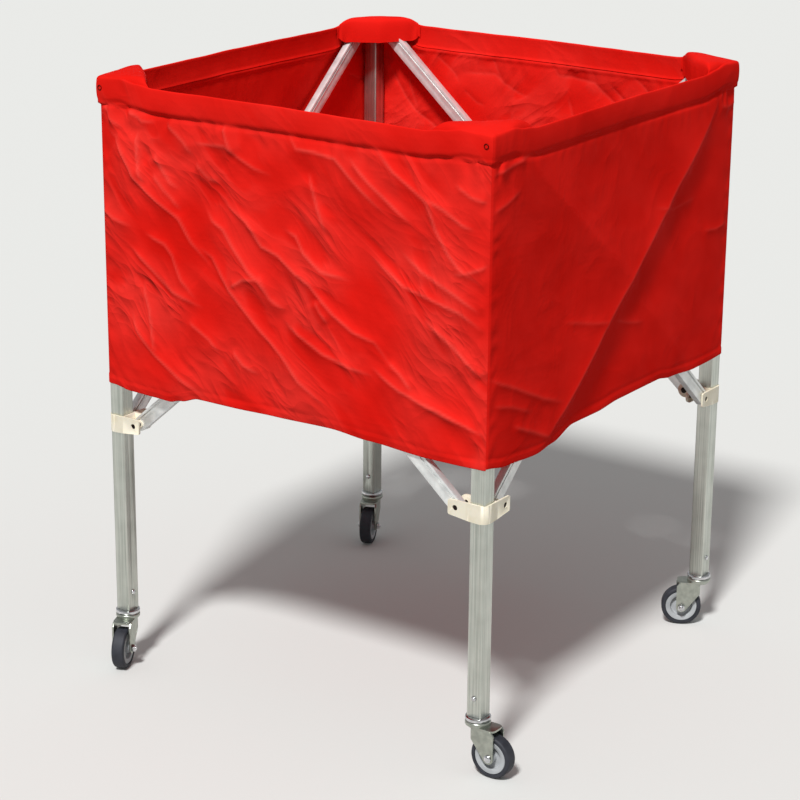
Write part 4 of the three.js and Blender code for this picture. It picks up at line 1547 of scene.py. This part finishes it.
@dataclass
class BagFloor:
    """The bag's floor, in leaves that each ride on a leg.

    It is sewn to the middle of each wall, and cut back towards the corners, clear of the bars and the legs.
    """

    walls: list[BagWall]
    middle_height: float = 466.0
    half: float = 347.0
    middle: float = 155.0
    clear: float = 318.5  # half the floor's width between the bars
    tab: tuple[float, float] = (148.0, 170.0)  # where the cut starts and ends, from the middle of a wall
    cells: int = 20

    def __post_init__(self) -> None:
        """Reads the line where each wall carries the floor, and places the leaves' shared lines."""
        self.feet = [wall.foot() for wall in self.walls]
        stops = (-self.half, -self.middle, 0, self.middle, self.half)
        spans = [np.linspace(a, b, self.cells, endpoint=False) for a, b in zip(stops, stops[1:])]
        self.lines = np.append(np.concatenate(spans), self.half)

    def reach(self, side: Side, along: float) -> tuple[float, float]:
        """How far out and how high the floor's edge is on one side.

        Args:
            side: The side.
            along: The distance from the side's middle, in millimetres.

        Returns:
            The edge's distance from the cart's middle, and its height.
        """
        places, heights, reaches = self.feet[side.value]
        wall, height = (float(np.interp(along + BagWall.half, places, line)) for line in (reaches, heights))
        return wall + (self.clear - wall) * eased(*self.tab, abs(along)), height

    def spot(self, x: float, y: float) -> tuple[float, float, float]:
        """Where a point of the flat square floor goes: out to the walls, down in the middle, and a little uneven.

        Args:
            x: The point's place across the frame, in millimetres from its middle.
            y: Its place along the frame.

        Returns:
            The point in the frame's own axes, in millimetres.
        """
        across = self.reach(Side.RIGHT, y) if x > 0 else self.reach(Side.LEFT, -y)
        deep = self.reach(Side.BACK, -x) if y > 0 else self.reach(Side.FRONT, x)
        edge = max(abs(x), abs(y)) / self.half
        near = [(356 - abs(x)) ** -2, (356 - abs(y)) ** -2]
        high = (across[1] * near[0] + deep[1] * near[1]) / sum(near)
        wave = noise.noise(Vector((x / 70, y / 70, 2.0)))
        up = self.middle_height + (high - self.middle_height) * edge**3 + 2.5 * wave * (1 - edge**6)
        return x * across[0] / self.half, y * deep[0] / self.half, up

    def leaf(self, name: str, columns: tuple[int, int], rows: tuple[int, int]) -> Piece:
        """Makes one leaf of the floor.

        Args:
            name: The leaf's name.
            columns: The first and last of the shared lines across the frame that it spans.
            rows: The first and last of those along the frame.

        Returns:
            The leaf, not yet riding on a body.
        """
        xs, ys = (self.lines[first : last + 1].tolist() for first, last in (columns, rows))
        points = np.array([self.spot(x, y) for y in ys for x in xs])
        flat = np.array([(x, y) for y in ys for x in xs]) * MM
        return thicken(sheet_of(name, points, flat, (len(xs), len(ys)), Matrix.Translation(FRAME_MIDDLE)), 60)

    def build(self, cloth: Material) -> None:
        """Makes the leaves: a strip along each side, and four squares between them.

        Args:
            cloth: The bag's material.
        """
        one, two, three, four = (self.cells * i for i in range(1, 5))
        long, short = 2 * self.half, self.half - self.middle
        strips = {
            "front": ((0, four), (0, one), 0, (1, 0, 0), (long, short), 0.1184),
            "back": ((0, four), (three, four), 3, (1, 0, 0), (long, short), 0.1184),
            "left": ((0, one), (one, three), 0, (0, 1, 0), (short, 2 * self.middle), 0.0556),
            "right": ((three, four), (one, three), 1, (0, 1, 0), (short, 2 * self.middle), 0.0556),
        }
        for side, (columns, rows, corner, axis, size, area) in strips.items():
            piece = self.leaf(f"bag_floor_{side}", columns, rows)
            nodes = ("bag_floor",) if side == "front" else ()
            dress(piece, cloth, "cloth", f"leg_{Corner(corner).label}", *nodes)
            self.hang(piece, Corner(corner))
        for corner in Corner:
            right = corner in (Corner.FRONT_RIGHT, Corner.BACK_RIGHT)
            back = corner in (Corner.BACK_RIGHT, Corner.BACK_LEFT)
            columns, rows = ((two, three) if far else (one, two) for far in (right, back))
            piece = self.leaf(f"bag_floor_{corner.label}", columns, rows)
            axis = (1 if right else -1, 1 if back else -1, 0)
            dress(piece, cloth, "cloth", f"leg_{corner.label}")
            self.hang(piece, corner)

    def hang(self, piece: Piece, corner: Corner) -> None:
        """Gives a leaf its own copy of its mesh.

        Args:
            piece: The leaf.
            corner: The corner whose leg carries it; not used.
        """
        draw_in(piece)


class Bag:
    """The whole cloth bag: four walls, four corner caps, the floor and an eyelet at each corner."""

    def walls(self) -> list[BagWall]:
        """The four walls, the front and back ones crumpled and the other two drawn smooth over the bars.

        Returns:
            The walls, in the order of the sides.
        """
        front = (
            (0, 2), (14, 2), (50, -2), (100, -3), (128, -4), (150, 1), (184, 10), (250, 10), (330, 12), (430, 14),
            (500, 9), (600, 4), (700, 4),
        )
        right = (
            (0, 6), (50, -1), (130, -6), (172, -1), (230, 13), (300, 12), (360, 16), (480, 16), (522, 10), (600, 4),
            (700, 4),
        )
        back, left = (tuple((2 * BagWall.half - x, z) for x, z in reversed(hem)) for hem in (front, right))
        slant = math.radians(-42)
        smooth_wall = (False, 1.25, 1.6, 0.25, 0.1)
        return [
            BagWall(Side.FRONT, Corner.FRONT_LEFT, 2.4, slant, 1.0, front, PACKED_FOLDS, False, 1.7),
            BagWall(Side.RIGHT, Corner.FRONT_RIGHT, 0.6, -0.2, 20.0, right, SMOOTH_FOLDS, *smooth_wall),
            # The back wall's highlight painted along its fold crests is weaker
            BagWall(Side.BACK, Corner.BACK_LEFT, 1.8, slant, 40.0, back, PACKED_FOLDS, True, 1.3, wear=0.1),
            BagWall(Side.LEFT, Corner.FRONT_LEFT, 0.8, -0.2, 60.0, left, SMOOTH_FOLDS, *smooth_wall),
        ]

    def eyelet(self) -> Piece:
        """Models the small rolled eyelet in the rim band, beside the front side's right corner."""
        return smooth(spun("eyelet", arc((3.4, 0), 0.6, 0, 360, 12), moved(340.5, -352.4, 925) @ ON_Y, 32), 60)

    def build(self, finishes: Finishes) -> None:
        """Makes every piece of the bag.

        Args:
            finishes: The cart's materials.
        """
        walls = self.walls()
        for wall in walls:
            wall.build(finishes.cloth, *(("bag_shell",) if wall.side is Side.FRONT else ()))
        for corner in Corner:
            CornerCap(corner).build(finishes.cloth)
        eyelet = self.eyelet()
        mirror = Matrix.Scale(-1, 4, (1, 0, 0))
        for side, turn, corner in (
            (Side.FRONT, UPRIGHT, Corner.FRONT_RIGHT), (Side.FRONT, mirror, Corner.FRONT_LEFT),
            (Side.BACK, UPRIGHT, Corner.BACK_LEFT), (Side.BACK, mirror, Corner.BACK_RIGHT),
        ):
            ring = outward(placed(eyelet, f"rim_eyelet_{corner.label}", side.turn @ turn))
            dress(ring, finishes.painted, "rivet", f"leg_{corner.label}")
        scrap(eyelet)
        BagFloor(walls).build(finishes.cloth)


# Room and camera


@dataclass
class Studio:
    """The pale floor, the soft lamps and the camera at the photo's angle."""

    camera_place: tuple[float, float, float] = (2.038, -2.981, 1.598)
    target: tuple[float, float, float] = (-0.041, 0.0, 0.405)
    focal_pixels: float = 2407.0
    frame_pixels: float = 800.0
    roll: float = 0.48
    sensor: float = 36.0
    sunward: tuple[float, float, float] = (0.3, -1.0, 1.38)

    def camera(self) -> None:
        """Makes the camera."""
        data = bpy.data.cameras.new("camera")
        data.sensor_width = self.sensor
        data.lens = self.focal_pixels * self.sensor / self.frame_pixels
        camera = linked("camera", data)
        place, target = Vector(self.camera_place), Vector(self.target)
        camera.location = place + FRAME_MIDDLE
        turn = (target - place).to_track_quat("-Z", "Y").to_matrix() @ Matrix.Rotation(math.radians(self.roll), 3, "Z")
        camera.rotation_euler = turn.to_euler()
        bpy.context.scene.camera = camera

    def floor(self) -> None:
        """Makes the floor: pale where it is seen or reflected, and darker in the light that it throws back."""
        deselect()
        bpy.ops.mesh.primitive_plane_add(size=600)
        floor = named("studio_floor")
        nodes = Nodes("pale_studio_floor")
        path = nodes.add("LightPath").outputs
        rays = {0: path["Is Camera Ray"], 1: path["Is Glossy Ray"]}
        seen = nodes.add("Math", {"operation": "MAXIMUM"}, rays).outputs[0]
        greys = {"stops": ((0.0, "8E8E8C"), (1.0, "D3D3D0"))}
        colour = nodes.add("ValToRGB", greys, {"Fac": seen}).outputs["Color"]
        floor.data.materials.append(nodes.surface(Base_Color=colour, Roughness=0.9, Specular_IOR_Level=0.0))

    def lamps(self) -> None:
        """Makes one broad soft sun from the front, a little to the right, and the pale world."""
        data = bpy.data.lights.new("key", "SUN")
        data.energy, data.angle = 3.5, math.radians(9)
        linked("key", data).rotation_euler = (-Vector(self.sunward)).to_track_quat("-Z", "Y").to_euler()
        world = bpy.data.worlds.new("studio")
        bpy.context.scene.world = world
        world.use_nodes = True
        background = world.node_tree.nodes["Background"].inputs
        background["Color"].default_value = linear("F2F4F6")
        background["Strength"].default_value = 0.42

    def build(self) -> None:
        """Makes the room, with plain colours in the render."""
        bpy.context.scene.view_settings.view_transform = "Standard"
        self.camera()
        self.floor()
        self.lamps()


def main() -> None:
    """Builds the cart in order."""
    logging.basicConfig(level=logging.INFO, format="%(name)s: %(message)s")
    bpy.ops.object.select_all(action="SELECT")
    bpy.ops.object.delete()
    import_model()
    finishes = Finishes()
    for part in (Leg(), Bracket(), Scissors(), Caster(), Bag()):
        part.build(finishes)
    Studio().build()
    deselect()


if __name__ == "__main__":
    main()
